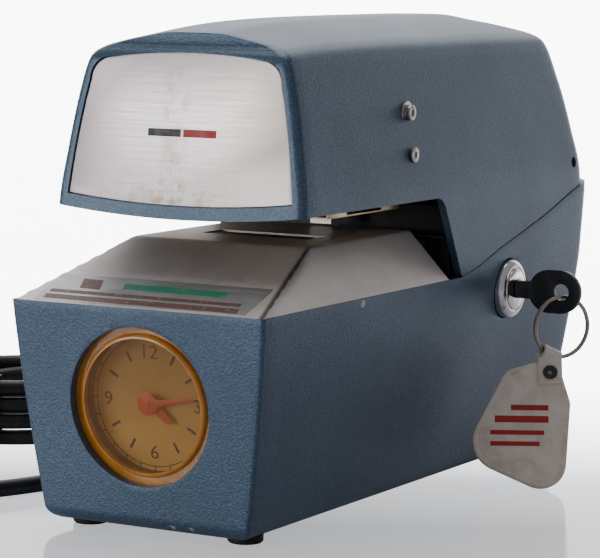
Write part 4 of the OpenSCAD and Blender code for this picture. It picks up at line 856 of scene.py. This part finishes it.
outer, inner = base_skin(0.0), base_skin(4.0)
shell = np.concatenate([outer, inner[:, ::-1]], axis=1)
faces = grid_faces(len(shell), shell.shape[1], close_u=True, close_v=True)
base = mesh_object("base_enamelled", shell, faces)
tidy_mesh(base, 0.01)
face_tilt = math.atan(FACE_LEAN)
face_out = np.array([0, -math.cos(face_tilt), -math.sin(face_tilt)])
face_up = np.array([0, -math.sin(face_tilt), math.cos(face_tilt)])
clock_at = np.array([0, FRONT_Y + FACE_LEAN * 38.4, 51.6])
lock_at = np.array([0.0, 60.0, 81.0])
cut_away(base, rod("clock_cutter", clock_at - 9 * face_out, clock_at + 5 * face_out, 31.35, 128),
         rod("lock_cutter", lock_at + (50, 0, 0), lock_at + (62, 0, 0), 13.3, 72),
         rod("gland_cutter", (-25, 125, 22), (-25, 142, 22), 7.05))
bevel(base, 0.45, 3, 50)
tidy_mesh(base, 0.001, 32, recalc=False)
finish_piece(base, "machine", blue_enamel, ["base_housing"])

# %% [markdown]
# ## Paper table
# A bent stainless sheet: a flat with a sloping panel in front and one on each side. Its height is the
# lowest of the three planes, taken with a smooth minimum so that the bends have a radius. The window for
# the hammer is left out of the grid.

# %% Paper table
SLOPE_SIDE, SLOPE_FRONT = 20.5 / 15.1, 20.5 / 62.1
TABLE_X, TABLE_Y, FLAT_Z = 56, -150.4, 110.5                       # its side and front edges, its flat top
WINDOW_X, WINDOW_Y = 25, (-61.5, -46)                              # the hammer's opening


def smooth_min(a, b, k):
    """The smaller of two heights, rounded over a distance k where they meet."""
    h = np.clip(0.5 + 0.5 * (b - a) / k, 0, 1)
    return b * (1 - h) + a * h - k * h * (1 - h)


def table_height(x, y):
    side = RIM + (TABLE_X - np.abs(x)) * SLOPE_SIDE
    front = RIM + (y - TABLE_Y) * SLOPE_FRONT
    return smooth_min(smooth_min(side, front, 0.5), FLAT_Z + 0 * x, 0.7)


def thick_sheet(name, top, low, cells):
    """The upper and lower faces of a grid's cells, joined by walls along every open edge."""
    count = top.shape[0] * top.shape[1]
    known = {tuple(e) for k in range(4) for e in cells[:, [k, (k + 1) % 4]].tolist()}
    walls = [[a + count, b + count, b, a] for a, b in known if (b, a) not in known]
    points = np.concatenate([top.reshape(-1, 3), low.reshape(-1, 3)])
    return mesh_object(name, points, cells.tolist() + (cells[:, ::-1] + count).tolist() + walls)


def table_sheet():
    """The upper face's grid, finer along the bends; its rear edge leans 20 degrees."""
    x = np.unique(np.r_[np.linspace(-TABLE_X, TABLE_X, 57), np.linspace(-43, -39, 9),
                        np.linspace(39, 43, 9), -WINDOW_X, WINDOW_X])
    y = np.r_[np.linspace(TABLE_Y, -90.5, 34), np.linspace(-90, -86, 9), np.linspace(-84, WINDOW_Y[0], 10),
              np.linspace(-59.5, WINDOW_Y[1], 8), np.linspace(-44, -12, 14)]
    gx, gy = np.meshgrid(x, y, indexing="ij")
    end = 3.5 - (table_height(x, 0 * x) - 90) * math.tan(math.radians(20))
    tail_y = -12 + (end + 12)[:, None] * np.linspace(0, 1, 8)[None, 1:]
    gx = np.concatenate([gx, np.repeat(x[:, None], 7, 1)], 1)
    gy = np.concatenate([gy, tail_y], 1)
    return gx, gy, np.maximum(table_height(gx, gy), 90.02)


gx, gy, gz = table_sheet()
dzx = np.gradient(gz, axis=0) / np.gradient(gx, axis=0)
dzy = np.gradient(gz, axis=1) / np.gradient(gy, axis=1)
normal = np.stack([-dzx, -dzy, np.ones_like(gz)], -1)
normal /= np.linalg.norm(normal, axis=-1, keepdims=True)
top_grid = np.stack([gx, gy, gz], -1)
cells = grid_faces(*gx.shape)
middle = top_grid.reshape(-1, 3)[cells].mean(1)
in_window = (np.abs(middle[:, 0]) < WINDOW_X) & (middle[:, 1] > WINDOW_Y[0]) & (middle[:, 1] < WINDOW_Y[1])
table = thick_sheet("paper_table", top_grid, top_grid - 1.8 * normal, cells[~in_window])
tidy_mesh(table, 0.001, 50)


def make_stainless():
    """Worn stainless: crossed fine scratches, broad grey smudges, spots of grime, and painted shade along the
    right front bend.
    """
    f = Finish("worn_stainless", Metallic=0.55)
    smudge = f.noise(24, 5, 0.6, f.stretched((1.0, 0.55, 1.0)))
    fine = f.noise(1.0, 3, 0.6, f.stretched((1400, 60, 1400)))
    cross = f.noise(1.0, 3, 0.6, f.stretched((70, 1500, 200)))
    base = f.ramp(smudge, (0.30, rgb(0.52, 0.45, 0.42)), (0.52, rgb(0.66, 0.59, 0.56)),
                  (0.75, rgb(0.80, 0.73, 0.71)))
    # distance between the side plane and the front plane is zero on the hip
    side = f.times(f.minus(0.056, f.math("ABSOLUTE", f.axis("X"))), SLOPE_SIDE)
    front = f.times(f.plus(f.axis("Y"), 0.1504), SLOPE_FRONT)
    near_hip = f.ramp(f.times(f.minus(side, front), 320.0, clamp=True),
                      (0.0, 0.0), (0.02, 1.0), (0.45, 0.9), (1.0, 0.0))
    below_flat = f.ramp(f.times(f.minus(0.1115, f.axis("Z")), 300.0, clamp=True), (0.0, 0.0), (0.6, 1.0))
    seam = f.times(near_hip, below_flat)
    # painted shade: a dark line down the right hip, below the flat, where a shadow falls between the front and
    # side panels; the cell spots are grime
    right = f.math("GREATER_THAN", f.axis("X"), 0.0)
    spots = f.ramp(f.cells(75), (0.02, 1.0), (0.055, 0.0))
    grime_and_painted_shade = f.math("MAXIMUM", f.times(seam, right), f.times(spots, 0.5))
    f.colour(f.mix(f.times(grime_and_painted_shade, 0.85), base, rgb(0.035, 0.03, 0.028)))
    tone = f.plus(f.times(fine, 0.5), f.times(cross, 0.3))
    f.rough(f.ramp(f.plus(tone, f.times(smudge, 0.35)), (0.35, 0.36), (0.85, 0.58)))
    f.bump(f.plus(fine, cross), 0.012)
    return f.material


stainless = make_stainless()
finish_piece(table, "machine", stainless, ["table_plate"])

# %% [markdown]
# ## Label on the table
# A foil label is stuck along the lower edge of the front panel, with a plain green bar and two plain
# brown bars.

# %% Foil label
def on_panel(x, y, lift):
    """A point a little above the front panel's plane."""
    up = 1 / math.sqrt(1 + SLOPE_FRONT**2)
    x, y = np.broadcast_arrays(np.asarray(x, float), np.asarray(y, float))
    return np.stack([x, y - lift * SLOPE_FRONT * up, RIM + (y - TABLE_Y) * SLOPE_FRONT + lift * up], -1)


def label_strip(name, corners, lift, thick, material):
    """A thin strip between four corners (x, y): left rear, right rear, right front, left front."""
    c = np.asarray(corners, float)
    u, v = (w[..., None] for w in np.meshgrid(np.linspace(0, 1, 24), np.linspace(0, 1, 8), indexing="ij"))
    flat = (1 - u) * (1 - v) * c[3] + u * (1 - v) * c[2] + u * v * c[1] + (1 - u) * v * c[0]
    top, low = (on_panel(flat[..., 0], flat[..., 1], height) for height in (lift + thick, lift))
    made = thick_sheet(name, top, low, grid_faces(24, 8))
    return finish_piece(tidy_mesh(made, 0.0005, 40), "machine", material)


def make_foil():
    f = Finish("label_foil", Metallic=0.7)
    creases = f.noise(1.0, 3, 0.6, f.stretched((90, 300, 300)))
    f.colour(f.ramp(f.noise(60, 4, 0.6), (0.3, rgb(0.36, 0.37, 0.385)), (0.7, rgb(0.50, 0.50, 0.50))))
    f.rough(f.ramp(creases, (0.3, 0.3), (0.8, 0.5)))
    f.bump(creases, 0.06)
    return f.material


def make_print(name, colour, wear):
    """Printing ink with flakes worn off, through which the foil shows."""
    f = Finish(name)
    worn = f.ramp(f.noise(700, 4, 0.7), (0.58, 0.0), (0.66, wear))
    f.colour(f.mix(worn, rgb(*colour), rgb(0.45, 0.43, 0.42)))
    f.rough(f.ramp(worn, (0.0, 0.5), (1.0, 0.35)))
    f.bump(worn, 0.02)
    return f.material


foil = make_foil()
green_ink = make_print("green_ink", (0.010, 0.22, 0.12), 0.7)
brown_ink = make_print("brown_ink", (0.13, 0.052, 0.035), 0.7)
FOIL_LIFT, FOIL_T, INK_T = 0.02, 0.12, 0.05
label_strip("label_foil_sheet", [(-49.5, -126.1), (46.6, -126.3), (47.4, -148.9), (-47.4, -149.1)],
            FOIL_LIFT, FOIL_T, foil)
for name, corners, ink in (
        ("label_green_bar", [(-17.0, -131.0), (30.2, -131.4), (31.2, -136.0), (-15.4, -135.6)], green_ink),
        ("label_mark", [(-37.2, -129.4), (-28.0, -129.6), (-24.5, -137.6), (-34.0, -137.4)], brown_ink),
        ("label_brown_thin", [(-45.6, -139.6), (41.0, -139.9), (41.4, -142.4), (-45.0, -142.2)], brown_ink),
        ("label_brown_thick", [(-45.2, -143.9), (42.6, -144.2), (43.2, -147.9), (-44.2, -147.7)], brown_ink)):
    label_strip(name, corners, FOIL_LIFT + FOIL_T, INK_T, ink)

# %% [markdown]
# ## The clock
# The dial sits about 8 mm behind the base's face, behind a dished amber crystal. Its figures are set in
# the built-in typeface, turned into meshes, and the two printed rings carry twenty-four short divisions.
# Everything is laid out in the face's own plane: across, up and outwards.

# %% Dial and crystal
face_right = np.array([1.0, 0.0, 0.0])


def on_face(across, up, out):
    """From the face's plane, centred on the clock, to the row frame."""
    parts = np.broadcast_arrays(*(np.asarray(v, float) for v in (across, up, out)))
    across, up, out = (v[..., None] for v in parts)
    return clock_at + across * face_right + up * face_up + out * face_out


def turned_on_face(name, profile, sides=96):
    """Surface of revolution about the clock's axis: each profile point is (radius, distance outwards)."""
    radius, out = np.asarray(profile, float).T
    a = np.linspace(0, 2 * np.pi, sides, endpoint=False)
    points = on_face(radius[:, None] * np.cos(a), radius[:, None] * np.sin(a), out[:, None])
    closed = abs(radius[0] - radius[-1]) < 1e-6 and abs(out[0] - out[-1]) < 1e-6
    if closed:
        points = points[:-1]
    faces = grid_faces(len(points), sides, close_u=closed, close_v=True)
    return tidy_mesh(mesh_object(name, points, faces), sharp=40)


def face_plate(name, outline, out, thick):
    """A flat outline (across, up) raised to a plate that starts at a distance outwards."""
    flat = np.asarray(outline, float)
    return prism(name, [on_face(flat[:, 0], flat[:, 1], out), on_face(flat[:, 0], flat[:, 1], out + thick)])


DIAL_OUT = -9.9


def make_dial():
    f = Finish("aged_dial_painted_shade", Specular_IOR_Level=0.3)
    tone = f.ramp(f.noise(80, 4, 0.6), (0.3, rgb(0.74, 0.44, 0.11)), (0.75, rgb(0.60, 0.34, 0.07)))
    # painted shade: the dial is painted darker towards its top, where the crystal's rim and the housing shade
    # it
    low = f.times(f.minus(0.080, f.axis("Z")), 20.0, clamp=True)
    f.colour(f.mix(f.ramp(low, (0.15, 0.62), (0.85, 0.0)), tone, rgb(0.10, 0.06, 0.02)))
    f.rough(0.6)
    return f.material


def make_amber(name, cover, deep, pale, coat):
    """Clear amber plastic: how much it covers, its two tones, a clear coat and old scratches."""
    f = Finish(name, Alpha=cover, Coat_Weight=coat, Coat_Roughness=0.05, Specular_IOR_Level=0.6)
    f.colour(f.ramp(f.noise(90, 3), (0.3, rgb(*pale)), (0.7, rgb(*deep))))
    scratch = f.noise(1.0, 3, 0.7, f.stretched((900, 400, 60)))
    f.rough(f.ramp(scratch, (0.4, 0.10), (0.8, 0.30)))
    f.bump(scratch, 0.01)
    return f.material


def make_ink(name, colour, roughness):
    """Print or lacquer of one colour with darker patches."""
    f = Finish(name, Specular_IOR_Level=0.4)
    patches = f.ramp(f.noise(900, 2), (0.4, 0.0), (0.8, 0.25))
    f.colour(f.mix(patches, rgb(*colour), rgb(*[0.6 * v for v in colour])))
    f.rough(roughness)
    return f.material


dial_paint = make_dial()
amber_window = make_amber("amber_window", 0.16, (0.40, 0.15, 0.02), (0.50, 0.22, 0.04), 0.3)
amber_rim = make_amber("amber_rim", 0.72, (0.62, 0.21, 0.015), (0.85, 0.36, 0.04), 0.6)
red_enamel = make_ink("hand_red", (0.62, 0.075, 0.03), 0.4)
dial_ink = make_ink("dial_ink", (0.018, 0.010, 0.006), 0.6)

dial_profile = [(0.01, DIAL_OUT), (33.6, DIAL_OUT), (33.6, DIAL_OUT - 0.8), (0.01, DIAL_OUT - 0.8)]
finish_piece(turned_on_face("dial_disc", dial_profile), "machine", dial_paint, ["clock_dial"])


RING_RADII = {"outer": 27.3, "inner": 25.4}
PRINT_LOW, PRINT_T = DIAL_OUT + 0.02, 0.07


def ring_outline(radius, half):
    """Section of a flat printed ring, from its inner edge round to that edge again."""
    low, high = PRINT_LOW, DIAL_OUT + 0.09
    return [(radius - half, low), (radius + half, low), (radius + half, high), (radius - half, high),
            (radius - half, low)]


for label, radius in RING_RADII.items():
    ring = turned_on_face("dial_ring_" + label, ring_outline(radius, 0.18))
    finish_piece(ring, "machine", dial_ink)


def ray(angle, r0, r1, half, name):
    """A thin bar on the dial from radius r0 to r1, at an angle from twelve o'clock."""
    a = math.radians(angle)
    u, v = np.array([math.sin(a), math.cos(a)]), np.array([math.cos(a), -math.sin(a)])
    corners = [r0 * u - half * v, r0 * u + half * v, r1 * u + half * v, r1 * u - half * v]
    return face_plate(name, corners, PRINT_LOW, PRINT_T)


def joined(name, pieces):
    """Several meshes as one."""
    bm = bmesh.new()
    for one in pieces:
        bm.from_mesh(one.data)
        bpy.data.objects.remove(one)
    mesh = bpy.data.meshes.new(name)
    bm.to_mesh(mesh)
    bm.free()
    return show(bpy.data.objects.new(name, mesh))


marks = [ray(15 * i, RING_RADII["inner"], RING_RADII["outer"], 0.22, f"mark_{i}") for i in range(24)]
marks += [ray(30 * i, 17.6, 22.0, 0.55, f"tick_{i}") for i in range(12) if i % 3]
finish_piece(joined("dial_divisions", marks), "machine", dial_ink)


def figure(text, across, up, height):
    """A figure of the built-in typeface, turned into a thin mesh on the dial and centred on a point."""
    curve = bpy.data.curves.new("figure_" + text, "FONT")
    curve.body, curve.size, curve.extrude, curve.resolution_u = text, 1.0, 0.0, 6
    curve.align_x = "CENTER"
    made = show(bpy.data.objects.new("figure_" + text, curve))
    bpy.context.view_layer.update()
    mesh = bpy.data.meshes.new_from_object(made.evaluated_get(bpy.context.evaluated_depsgraph_get()))
    bpy.data.objects.remove(made)
    flat = np.zeros(len(mesh.vertices) * 3)
    mesh.vertices.foreach_get("co", flat)
    flat = flat.reshape(-1, 3)[:, :2]
    flat = (flat - (flat.max(0) + flat.min(0)) / 2) * height / (flat[:, 1].max() - flat[:, 1].min())
    flat = flat * [1.12, 1.0]
    places = on_face(across + flat[:, 0], up + flat[:, 1], PRINT_LOW) * MM
    mesh.vertices.foreach_set("co", places.ravel())
    piece = show(bpy.data.objects.new("figure_" + text, mesh))
    thick = piece.modifiers.new("thick", "SOLIDIFY")
    thick.thickness, thick.offset = PRINT_T * MM, 1.0
    bpy.context.view_layer.update()
    return tidy_mesh(bake_modifiers(piece), 0.0005, 40)


figures = [figure(text, across, up, 5.3)
           for text, across, up in (("12", 0, 19.8), ("3", 20.2, 0), ("6", 0, -19.8), ("9", -20.2, 0))]
finish_piece(joined("dial_figures", figures), "machine", dial_ink)

# %% [markdown]
# ## Crystal and hands
# The crystal is a shallow cup of amber plastic with a rounded corner. Its flange is held behind the wall.
# The hands keep the source's angles and are printed in orange red.

# %% Crystal and hands
turn = np.radians(np.linspace(90, 0, 9))
corner = [(26.4 + 2.0 * math.cos(a), -4.0 + 2.0 * math.sin(a)) for a in turn]
inner = [(26.2 + 0.9 * math.cos(a), -4.2 + 0.9 * math.sin(a)) for a in turn[::-1]]
window = turned_on_face("crystal_window", [(0.01, -2.0), (26.38, -2.0), (26.38, -3.28), (0.01, -3.3)], 128)
finish_piece(window, "machine", amber_window)
flange = [(28.4, -4.1), (33.8, -4.1), (33.8, -5.25), (27.1, -5.25)]
cup = [(26.4, -2.02)] + corner[1:] + flange + inner[:-1] + [(26.4, -3.28), (26.4, -2.02)]
crystal = turned_on_face("crystal_cup", cup, 128)
finish_piece(crystal, "machine", amber_rim, ["clock_crystal"])


def paint_node(name, material):
    """A CAD node that is shown as it is, in a Blender material."""
    nodes[name].data.materials.clear()
    nodes[name].data.materials.append(material)


for hand in ("hour", "minute"):
    soften(hand + "_hand", 0.12, "hand_" + hand, red_enamel)
stud = turned_on_face("hand_stud", [(0.01, -5.75), (0.9, -5.8), (1.2, -6.0), (1.2, -6.35), (0.01, -6.35)], 32)
finish_piece(stud, "hand_minute", dark_sheet)
print("dial", DIAL_OUT, "mm from the face")

# %% [markdown]
# ## Lock, key and ring
# The lock's bezel is rounded chrome with the plug and its keyway in the middle. A black key stands in it,
# its bow pierced for a split ring of browned steel.

# %% Lock, key and ring
soften("lock_barrel", 0.25, "machine", chrome, 50)
soften("lock_plug", 0.35, "lock_turning", chrome)
soften("key", 0.4, "key_body", black_moulding)

RING_AT, RING_TURN = np.array([82.41, 60.0, 65.95]), math.radians(55)
RING_R, WIRE_R, STRAND = 13.05, 0.8, 0.42                          # STRAND: half a turn's width


def split_ring(name):
    """One wire wound a little over two turns side by side; its ends are shut and a hair apart."""
    turns, sides = 1.96, 14
    t = np.linspace(0, 2 * math.pi * turns, 220)
    side = STRAND * np.clip((t / (2 * math.pi) - 0.93) / 0.1, 0, 1) * 2 - STRAND
    u = np.array([math.cos(RING_TURN), math.sin(RING_TURN), 0.0])
    n = np.array([-math.sin(RING_TURN), math.cos(RING_TURN), 0.0])
    out = np.cos(t + 2.2)[:, None] * u + np.sin(t + 2.2)[:, None] * np.array([0.0, 0.0, 1.0])
    line = (RING_AT + RING_R * out + side[:, None] * n)[:, None, :]
    a = np.linspace(0, 2 * math.pi, sides, endpoint=False)[None, :, None]
    rings = line + WIRE_R * np.cos(a) * out[:, None, :] + STRAND * np.sin(a) * n
    return tidy_mesh(mesh_object(name, rings, capped_faces(len(t), sides)), sharp=60)


finish_piece(split_ring("split_ring"), "ring", ring_steel, ["key_ring"])

# %% [markdown]
# ## The fob
# A flat, soft cornered card hangs from the ring by a strap. Its outline is the hull of five circles: for
# every direction, the point of the circle that reaches furthest. Moving that reach inwards gives the
# rounded edges and the pressed line. Plain red bars lie on its face.

# %% Fob
STRAP_AT = np.array([79.130, 55.314, 54.221])


def fob_place(x, y, z):
    """From the fob's frame (across, through, up) to the row frame: tipped about X, then turned about Z."""
    tip, turn = math.radians(-27.7), math.radians(28.8)
    x, y, z = np.broadcast_arrays(np.asarray(x, float), np.asarray(y, float), np.asarray(z, float))
    y2, z2 = y * math.cos(tip) - z * math.sin(tip), y * math.sin(tip) + z * math.cos(tip)
    return STRAP_AT + np.stack([x * math.cos(turn) - y2 * math.sin(turn),
                                x * math.sin(turn) + y2 * math.cos(turn), z2], -1)


ROUNDS = np.array([[-2, -1, 7], [-13, -6, 8.5], [-20, -30.5, 13.5], [-5, -40, 11.2], [1.5, -14, 7]], float)


def fob_outline(inwards, steps=180):
    a = np.linspace(0, 2 * math.pi, steps, endpoint=False)
    n = np.stack([np.cos(a), np.sin(a)], 1)
    reach = n @ ROUNDS[:, :2].T + ROUNDS[:, 2]
    k = reach.argmax(1)
    return ROUNDS[k, :2] + (ROUNDS[k, 2:] - inwards) * n + [0, -9]


def fob_loop(inwards, y):
    """The outline at a distance through the card, drawn in from its edge."""
    outline = fob_outline(inwards)
    return fob_place(outline[:, 0], y, outline[:, 1])


front_half = [(2.6, 1.5), (2.5, 1.36), (1.9, 1.36), (1.8, 1.5), (0.7, 1.5), (0.25, 1.36), (0.0, 0.95)]
card = front_half + [(inwards, -y) for inwards, y in front_half[::-1]]
fob_card = prism("fob_card", [fob_loop(inwards, y) for inwards, y in card])


def make_worn_card():
    """Off-white vinyl that has browned towards its edges, with grime in its scratches."""
    f = Finish("worn_card", Specular_IOR_Level=0.4)
    slow = f.noise(110, 5, 0.65)
    f.colour(f.ramp(slow, (0.25, rgb(0.66, 0.53, 0.43)), (0.5, rgb(0.88, 0.77, 0.68)),
                    (0.78, rgb(0.95, 0.88, 0.80))))
    f.rough(f.ramp(slow, (0.3, 0.42), (0.8, 0.62)))
    f.bump(f.noise(900, 3), 0.05)
    return f.material


worn_card = make_worn_card()
finish_piece(fob_card, "fob", worn_card, ["key_fob"])
soften("fob_strap", 0.15, "fob", worn_card)
soften("fob_eyelet", 0.2, "fob", black_moulding, 45)


def fob_bar(name, x0, x1, z0, z1, y=-1.5, thick=-0.06):
    """A plain printed bar on the fob's front."""
    x, z = np.array([x0, x1, x1, x0]), np.array([z0, z0, z1, z1])
    made = prism(name, [fob_place(x, y, z), fob_place(x, y + thick, z)])
    return finish_piece(made, "fob", red_print)


FOB_BARS = [(-17, -1, -26, -23.6), (-24, -1, -31.5, -28.5), (-26, -3, -37, -35), (-26, -5, -42, -40)]
for i, bar in enumerate(FOB_BARS):
    fob_bar(f"fob_bar_{i}", *bar)

# %% [markdown]
# ## Screws, throat metalwork and feet
# The cover's screws have sockets and washers. In the gap under the head stand a black bent sheet and a
# yellow passivated plate; behind them hang the two side plates.

# %% Small fittings
def washer(name, side, y, z, radius=4.6, thick=0.5):
    """A flat washer on the cover's side, with its plane upright; side is 1 for right and -1 for left."""
    a = np.linspace(0, 2 * math.pi, 40, endpoint=False)
    start = side_at(z) + 0.05
    levels = ((0, radius), (thick - 0.12, radius), (thick, radius - 0.15))
    loops = []
    for out, r in levels:
        loops.append(np.stack([np.full_like(a, side * (start + out)), y + r * np.cos(a), z + r * np.sin(a)], 1))
    return prism(name, loops)


soften("cover_screws", 0.25, "cover", ring_steel)
for label, side in (("right", 1), ("left", -1)):
    finish_piece(washer("cover_washer_" + label, side, -28.0, 161.0), "cover", zinc_steel)
for node, width, sharp, body, material, slot in (
        ("rubber_feet", 0.5, 50, "machine", foot_rubber, "rubber"),
        ("throat_plate", 0.2, 40, "machine", dark_sheet, "dark_sheet"),
        ("ribbon_shield", 0.2, 40, "machine", tan_steel, "tan_plate"),
        ("hammer_arm", 0.4, 40, "hammer", zinc_steel, "steel"),
        ("type_motor", 0.6, 40, "machine", grey_moulding, "black_plastic")):
    soften(node, width, body, material, sharp)
spring = soften("return_spring", 0.0, "machine", zinc_steel)
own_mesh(spring)
for blade in blades:
    finish_piece(blade, "machine", zinc_steel)

# %% [markdown]

# %% [markdown]
# ## The pieces inside
# The mechanism keeps the source's own solids. Each group gets its material here.

# %% Materials of the carried-over pieces
INSIDE = [
    (zinc_steel, "bottom_screws movement_screws left_side_plate right_side_plate frame_spacers type_shaft "
                 "spool_plate ribbon_pins trip_lever hammer_pivot solenoid_frame solenoid_plunger "
                 "lock_bracket lock_nut lock_cam left_spool right_spool"),
    (brass, "minute_type_wheel hour_type_wheel date_type_wheel month_type_wheel year_type_wheel "
            "type_drive_gear idler_gear motor_pinion"),
    (dark_sheet, "bottom_plate dial_spacer"),
    (grey_moulding, "clock_movement trip_switch"),
    (foot_rubber, "hammer_platen"),
    (ribbon_cloth, "ribbon"),
    (winding, "solenoid_coil"),
    (black_moulding, "cord_tie"),
]
for material, names in INSIDE:
    for name in names.split():
        paint_node(name, material)
print(sum(len(names.split()) for material, names in INSIDE), "nodes keep their own shape")

# %% [markdown]
# ## Desk, light and sky
# The machine stands on a pale, slightly glossy sheet that runs into a white background. A broad soft
# light hangs over it on the left, a second stands in front of it, and the white surroundings fill in.

# %% Stage
BACK = (-0.493, 0.870, 0.0)                                       # level direction in which the camera looks


def glossy_floor():
    """A pale glossy sheet with painted light: it glows more further back, and far more to the camera, standing
    in for the lit backdrop's light and its reflection in the sheet.
    """
    corners = [[-4000, -3000, -0.02], [4000, -3000, -0.02], [4000, 5000, -0.02], [-4000, 5000, -0.02]]
    made = mesh_object("desk_sheet", corners, [[0, 1, 2, 3]])
    f = Finish("desk_white_painted_glow", Specular_IOR_Level=0.6, Emission_Color=(0.95, 0.97, 1.0, 1.0))
    f.colour(f.ramp(f.noise(3, 2), (0.3, rgb(0.36, 0.36, 0.40)), (0.7, rgb(0.42, 0.415, 0.46))))
    f.rough(0.10)
    # painted light: the sheet's emission rises towards the back and is eight times stronger to the camera
    far = f.plus(f.vector("DOT_PRODUCT", f.place, BACK), 0.1)
    seen = f.node("LightPath").outputs["Is Camera Ray"]
    painted_glow = f.mix(seen, f.ramp(far, (0.15, 0.08), (0.9, 0.9)),
                 f.ramp(far, (0.0, 0.07), (0.10, 0.14), (0.22, 0.5), (0.4, 1.0)))
    strength = f.times(painted_glow, f.plus(f.times(seen, 7.0), 1.0))
    f.feed(f.shader.inputs["Emission Strength"], strength)
    made.data.materials.append(f.material)
    return made


def lit_backdrop(dim, bright):
    """White surroundings: dim all round, bright within about forty degrees of the far side."""
    world = bpy.data.worlds.new("lit_backdrop")
    world.use_nodes = True
    tree = world.node_tree
    place = tree.nodes.new("ShaderNodeTexCoord").outputs["Generated"]
    dot = tree.nodes.new("ShaderNodeVectorMath")
    dot.operation = "DOT_PRODUCT"
    tree.links.new(place, dot.inputs[0])
    dot.inputs[1].default_value = BACK
    lobe = tree.nodes.new("ShaderNodeMapRange")
    lobe.interpolation_type = "SMOOTHSTEP"
    tree.links.new(dot.outputs["Value"], lobe.inputs["Value"])
    for socket, value in (("From Min", 0.50), ("From Max", 0.85), ("To Min", dim), ("To Max", bright)):
        lobe.inputs[socket].default_value = value
    seen = tree.nodes.new("ShaderNodeMath")
    seen.operation = "MULTIPLY_ADD"
    tree.links.new(tree.nodes.new("ShaderNodeLightPath").outputs["Is Camera Ray"], seen.inputs[0])
    seen.inputs[1].default_value = 8.0
    tree.links.new(lobe.outputs["Result"], seen.inputs[2])
    tree.links.new(seen.outputs["Value"], tree.nodes["Background"].inputs["Strength"])
    tree.nodes["Background"].inputs["Color"].default_value = (0.97, 0.98, 1.0, 1.0)
    return world


def soft_light(name, at, towards, size, power):
    lamp = bpy.data.lights.new(name, "AREA")
    lamp.shape, lamp.size, lamp.size_y, lamp.energy = "RECTANGLE", size[0], size[1], power
    made = show(bpy.data.objects.new(name, lamp))
    made.location = at
    made.rotation_euler = (Vector(towards) - Vector(at)).to_track_quat("-Z", "Y").to_euler()


floor = glossy_floor()
bpy.context.scene.world = lit_backdrop(0.27, 2.0)
soft_light("overhead_light", (-0.35, 0.25, 1.3), (0.0, 0.05, 0.1), (0.9, 0.9), 7)
soft_light("front_light", (-1.1, -1.7, 0.42), (0.0, -0.1, 0.13), (1.0, 0.7), 14)
floor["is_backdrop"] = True

# %% Size and finish
def as_lists(value):
    return {k: as_lists(v) for k, v in value.items()} if isinstance(value, dict) else np.asarray(value).tolist()


{"cad": as_lists(cad_box), "scene": as_lists(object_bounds())}
